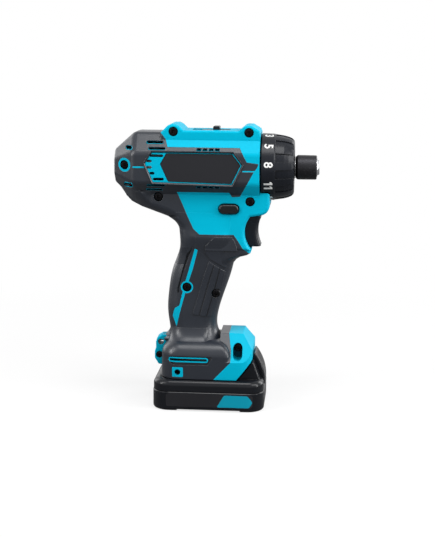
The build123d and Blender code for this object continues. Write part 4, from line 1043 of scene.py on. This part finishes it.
# Zinc-plated steel is pale and smooth, enamelled copper is red-brown and pressed brass yellow. Ferrite
# and carbon are dull and dark, and the red sleeving is satin.
rolled_steel = bare_metal("zinc_plated_steel", "#B9BABB", roughness=0.35, grain_mm=3.0, depth_mm=0.01)
drawn_copper = bare_metal("enamelled_copper", "#B06A3B", roughness=0.32, grain_mm=0.5, depth_mm=0.02)
pressed_brass = bare_metal("pressed_brass", "#C9A75A", roughness=0.3, grain_mm=0.8, depth_mm=0.01)
ferrite = moulded(
    "sintered_ferrite", "#2B2A2B", "#4A494A", roughness=0.55, ior=1.8, grain_mm=0.6, depth_mm=0.03,
    edge_mm=0.2,
)
carbon = moulded(
    "carbon_graphite", "#1B1B1C", "#3A3A3C", roughness=0.6, ior=1.8, grain_mm=0.5, depth_mm=0.03,
    edge_mm=0.2,
)
red_sleeving = moulded(
    "red_pvc_sleeving", "#A51E1E", "#C9504C", roughness=0.4, ior=1.54, grain_mm=0.9, depth_mm=0.01,
    edge_mm=0.2,
)
dress(rolled_steel, "motor_can")
dress(ferrite, "motor_magnets")
dress(carbon, "carbon_brushes")
dress(black_nylon, "motor_end_cap", "cooling_fan", "terminal_block")
dress(hardened_steel, "armature_shaft")
dress(sintered_steel, "armature_core")
dress(drawn_copper, "armature_windings")
dress(pressed_brass, "bearings", "terminal_blades", "battery_clips")
dress(blackened_steel, "hook_nuts")
dress(red_sleeving, "lead_wires")

# Battery pack
# Two black mouldings screwed together round three cells. The upper one has the rails and the hump that
# enters the foot, and the release button slides down its front.

PACK_BLACK = "#13151A"
# Polycarbonate from a polished tool: nearly black and glossy, so its edges carry bright lines, with a
# painted highlight on them too.
pack_plastic = moulded(
    "moulded_polycarbonate", PACK_BLACK, "#26272C", roughness=0.2, ior=1.58, grain_mm=0.7,
    depth_mm=0.01, edge_mm=0.4, specular=0.18,
)
dress(pack_plastic, "battery_lower_case", "battery_upper_case", "release_button")
dress(blackened_steel, "battery_screws")
# Shrink wrap round the cells: thin blue PVC, glossy where it is drawn tight.
shrink_wrap = moulded(
    "cell_shrink_wrap", "#2E6FA8", "#6C9CC6", roughness=0.3, ior=1.5, grain_mm=2.0, depth_mm=0.01,
    edge_mm=0.2,
)
dress(shrink_wrap, "battery_cells")

# Battery label
# A polyester label stuck on the right side of the pack and wrapped a little round its front corner. A
# blue-green flash is printed on its front end.

LABEL_MM = ((-35.0, 3.5), (30.6, 3.5), (30.6, 13.5), (-35.0, 13.5))
FLASH_MM = ((3.6, 3.7), (28.0, 3.7), (30.6, 8.0), (26.8, 13.0), (9.1, 13.1))
LABEL_CORNER_MM = 2.2
FLASH_CORNER_MM = 1.2
FLASH_LIFT_MM = 0.05
# A corner's curve starts at most this share of a side away from it.
CORNER_SHARE = 0.45
CORNER_STEPS = 6
# Places along the label where it is cut across, so that it follows the corner of the pack.
WRAP_STEPS_MM = [25.0 + 0.4 * i for i in range(15)]


def rounded(outline, radius):
    """An outline with its corners rounded, each by a quadratic curve."""
    points = []
    for i, corner in enumerate(outline):
        corner = Vector(corner)
        ends = []
        for other in (outline[i - 1], outline[(i + 1) % len(outline)]):
            along = Vector(other) - corner
            ends.append(corner + along.normalized() * min(radius, along.length * CORNER_SHARE))
        points += bent(ends[0], corner, ends[1], CORNER_STEPS)
    return [tuple(point) for point in points]


# Polyester film with a clear matt laminate: a shade greyer and duller than the case.
label_film = moulded(
    "polyester_label", "#1B1B1F", "#303036", roughness=0.42, ior=1.57, grain_mm=0.8, depth_mm=0.008,
    edge_mm=0.15, specular=0.24,
)
# The flash is printed on the same film in blue-green ink, a little glossier.
flash_film = moulded(
    "printed_polyester", "#0098B2", "#2AB4C8", roughness=0.36, ior=1.57, grain_mm=0.8, depth_mm=0.006,
    edge_mm=0.15, specular=0.18,
)
label_edge = rounded(LABEL_MM, LABEL_CORNER_MM)
label = stuck_on("battery_lower_case", label_edge, WRAP_STEPS_MM, -1, -FILM_SUNK_MM)
show(label, "battery_label", "battery", label_film)
flash_edge = rounded(FLASH_MM, FLASH_CORNER_MM)
flash = stuck_on("battery_lower_case", flash_edge, WRAP_STEPS_MM, -1, FLASH_LIFT_MM)
show(flash, "label_flash", "battery", flash_film)

# Stage
# A plain pale paper sweep, lit by a large soft box above, a weak fill in front, strips at the nose and
# tail, two boxes behind and two high at the sides. Camera and mirrored rays see white behind the tool.

AIM = Vector((0.0008, 0.0, 0.1043))
CAMERA_DISTANCE = 0.95
CAMERA_AZIMUTH = radians(4.5)
CAMERA_ELEVATION = radians(10.0)
CAMERA_ROLL = radians(0.5)
FOCAL_PX = 1239.0
FRAME_HEIGHT_PX = 537.0
SENSOR_MM = 36.0
FLOOR_HALF = 3.0


def mirrored(tree):
    """1 for rays that left a glossy surface or went through clear plastic."""
    path = add(tree, "ShaderNodeLightPath")
    return add(
        tree, "ShaderNodeMath", {"operation": "MAXIMUM"},
        {0: path.outputs["Is Glossy Ray"], 1: path.outputs["Is Transmission Ray"]},
    ).outputs[0]


# Paper: the near floor is grey to the light, so that it throws little back at the tool's underside, and
# glows white for the camera and in reflections further off.
sweep, sweep_tree = blank_material("white_sweep")
sweep_place = add(sweep_tree, "ShaderNodeTexCoord").outputs["Object"]
sweep_far = add(sweep_tree, "ShaderNodeVectorMath", {"operation": "LENGTH"}, {0: sweep_place})
sweep_rays = add(sweep_tree, "ShaderNodeLightPath")
seen_fade = add(
    sweep_tree, "ShaderNodeMapRange",
    {"From Min": 0.12, "From Max": 0.5, "To Min": 0.74, "To Max": 1.0},
    {"Value": sweep_far.outputs["Value"]},
)
mirrored_fade = add(
    sweep_tree, "ShaderNodeMapRange",
    {"From Min": 0.8, "From Max": 2.8, "To Min": 0.0, "To Max": 1.0},
    {"Value": sweep_far.outputs["Value"]},
)
seen_white = add(
    sweep_tree, "ShaderNodeMath", {"operation": "MULTIPLY"},
    {0: sweep_rays.outputs["Is Camera Ray"], 1: seen_fade.outputs[0]},
)
mirrored_white = add(
    sweep_tree, "ShaderNodeMath", {"operation": "MULTIPLY"},
    {0: mirrored(sweep_tree), 1: mirrored_fade.outputs[0]},
)
sweep_mix = add(
    sweep_tree, "ShaderNodeMath", {"operation": "MAXIMUM"},
    {0: seen_white.outputs[0], 1: mirrored_white.outputs[0]},
)
sweep_tint = add(
    sweep_tree, "ShaderNodeMix", {"data_type": "RGBA", 6: linear("#8C8C8C"), 7: linear("#F4F4F4")},
    {0: sweep_rays.outputs["Is Camera Ray"]},
)
paper = add(sweep_tree, "ShaderNodeBsdfDiffuse", {}, {"Color": sweep_tint.outputs[2]})
glow = add(sweep_tree, "ShaderNodeEmission", {"Strength": 1.0})
sweep_shader = add(
    sweep_tree, "ShaderNodeMixShader", {},
    {0: sweep_mix.outputs[0], 1: paper.outputs[0], 2: glow.outputs[0]},
)
add(sweep_tree, "ShaderNodeOutputMaterial", {}, {"Surface": sweep_shader.outputs[0]})
floor_data = bpy.data.meshes.new("floor")
corners = [(x * FLOOR_HALF, y * FLOOR_HALF, 0) for x, y in ((-1, -1), (1, -1), (1, 1), (-1, 1))]
floor_data.from_pydata(corners, [], [(0, 1, 2, 3)])
floor_data.materials.append(sweep)
floor = bpy.data.objects.new("floor", floor_data)
bpy.context.scene.collection.objects.link(floor)

world = bpy.data.worlds.new("studio")
world.use_nodes = True
world.node_tree.nodes.clear()
ambient = add(world.node_tree, "ShaderNodeBackground", {"Color": linear("#FFFFFF"), "Strength": 0.06})
backdrop = add(world.node_tree, "ShaderNodeBackground", {"Color": linear("#FFFFFF"), "Strength": 1.0})
world_rays = add(world.node_tree, "ShaderNodeLightPath")
world_white = add(
    world.node_tree, "ShaderNodeMath", {"operation": "MAXIMUM"},
    {0: world_rays.outputs["Is Camera Ray"], 1: mirrored(world.node_tree)},
)
world_mix = add(
    world.node_tree, "ShaderNodeMixShader", {},
    {0: world_white.outputs[0], 1: ambient.outputs[0], 2: backdrop.outputs[0]},
)
add(world.node_tree, "ShaderNodeOutputWorld", {}, {"Surface": world_mix.outputs[0]})
bpy.context.scene.world = world

# Name, place and size in metres, and power in watts.
SOFT_BOXES = (
    ("top_box", (0.10, -0.42, 1.25), (0.6, 0.6), 8.0),
    ("front_fill", (0.35, -1.0, 0.28), (0.8, 0.6), 0.4),
    ("nose_strip", (0.95, -0.25, 0.30), (0.16, 0.7), 5.0),
    ("tail_strip", (-0.9, -0.52, 0.42), (0.14, 0.34), 3.6),
    ("back_right", (0.75, 0.60, 0.40), (0.4, 0.7), 4.0),
    ("back_left", (-0.75, 0.55, 0.40), (0.4, 0.7), 2.0),
    ("left_high", (-0.65, -0.55, 0.75), (0.5, 0.5), 3.2),
    ("right_high", (0.75, -0.50, 0.75), (0.5, 0.5), 4.6),
)
for label, place, size, power in SOFT_BOXES:
    lamp = bpy.data.lights.new(label, "AREA")
    lamp.shape = "RECTANGLE"
    lamp.size, lamp.size_y = size
    lamp.energy = power
    box = bpy.data.objects.new(label, lamp)
    box.location = place
    box.rotation_euler = (AIM - Vector(place)).to_track_quat("-Z", "Y").to_euler()
    bpy.context.scene.collection.objects.link(box)

back = Vector((
    sin(CAMERA_AZIMUTH) * cos(CAMERA_ELEVATION),
    -cos(CAMERA_AZIMUTH) * cos(CAMERA_ELEVATION),
    sin(CAMERA_ELEVATION),
))
right = Vector((0, 0, 1)).cross(back).normalized()
up = back.cross(right)
rolled_right = right * cos(CAMERA_ROLL) + up * sin(CAMERA_ROLL)
rolled_up = up * cos(CAMERA_ROLL) - right * sin(CAMERA_ROLL)
view = bpy.data.cameras.new("camera")
view.sensor_fit = "VERTICAL"
view.sensor_height = SENSOR_MM
view.lens = FOCAL_PX * SENSOR_MM / FRAME_HEIGHT_PX
camera = bpy.data.objects.new("camera", view)
camera.matrix_world = Matrix.Translation(AIM + back * CAMERA_DISTANCE) @ Matrix(
    (rolled_right, rolled_up, back)
).transposed().to_4x4()
bpy.context.scene.collection.objects.link(camera)
bpy.context.scene.camera = camera
bpy.context.scene.view_settings.view_transform = "Standard"
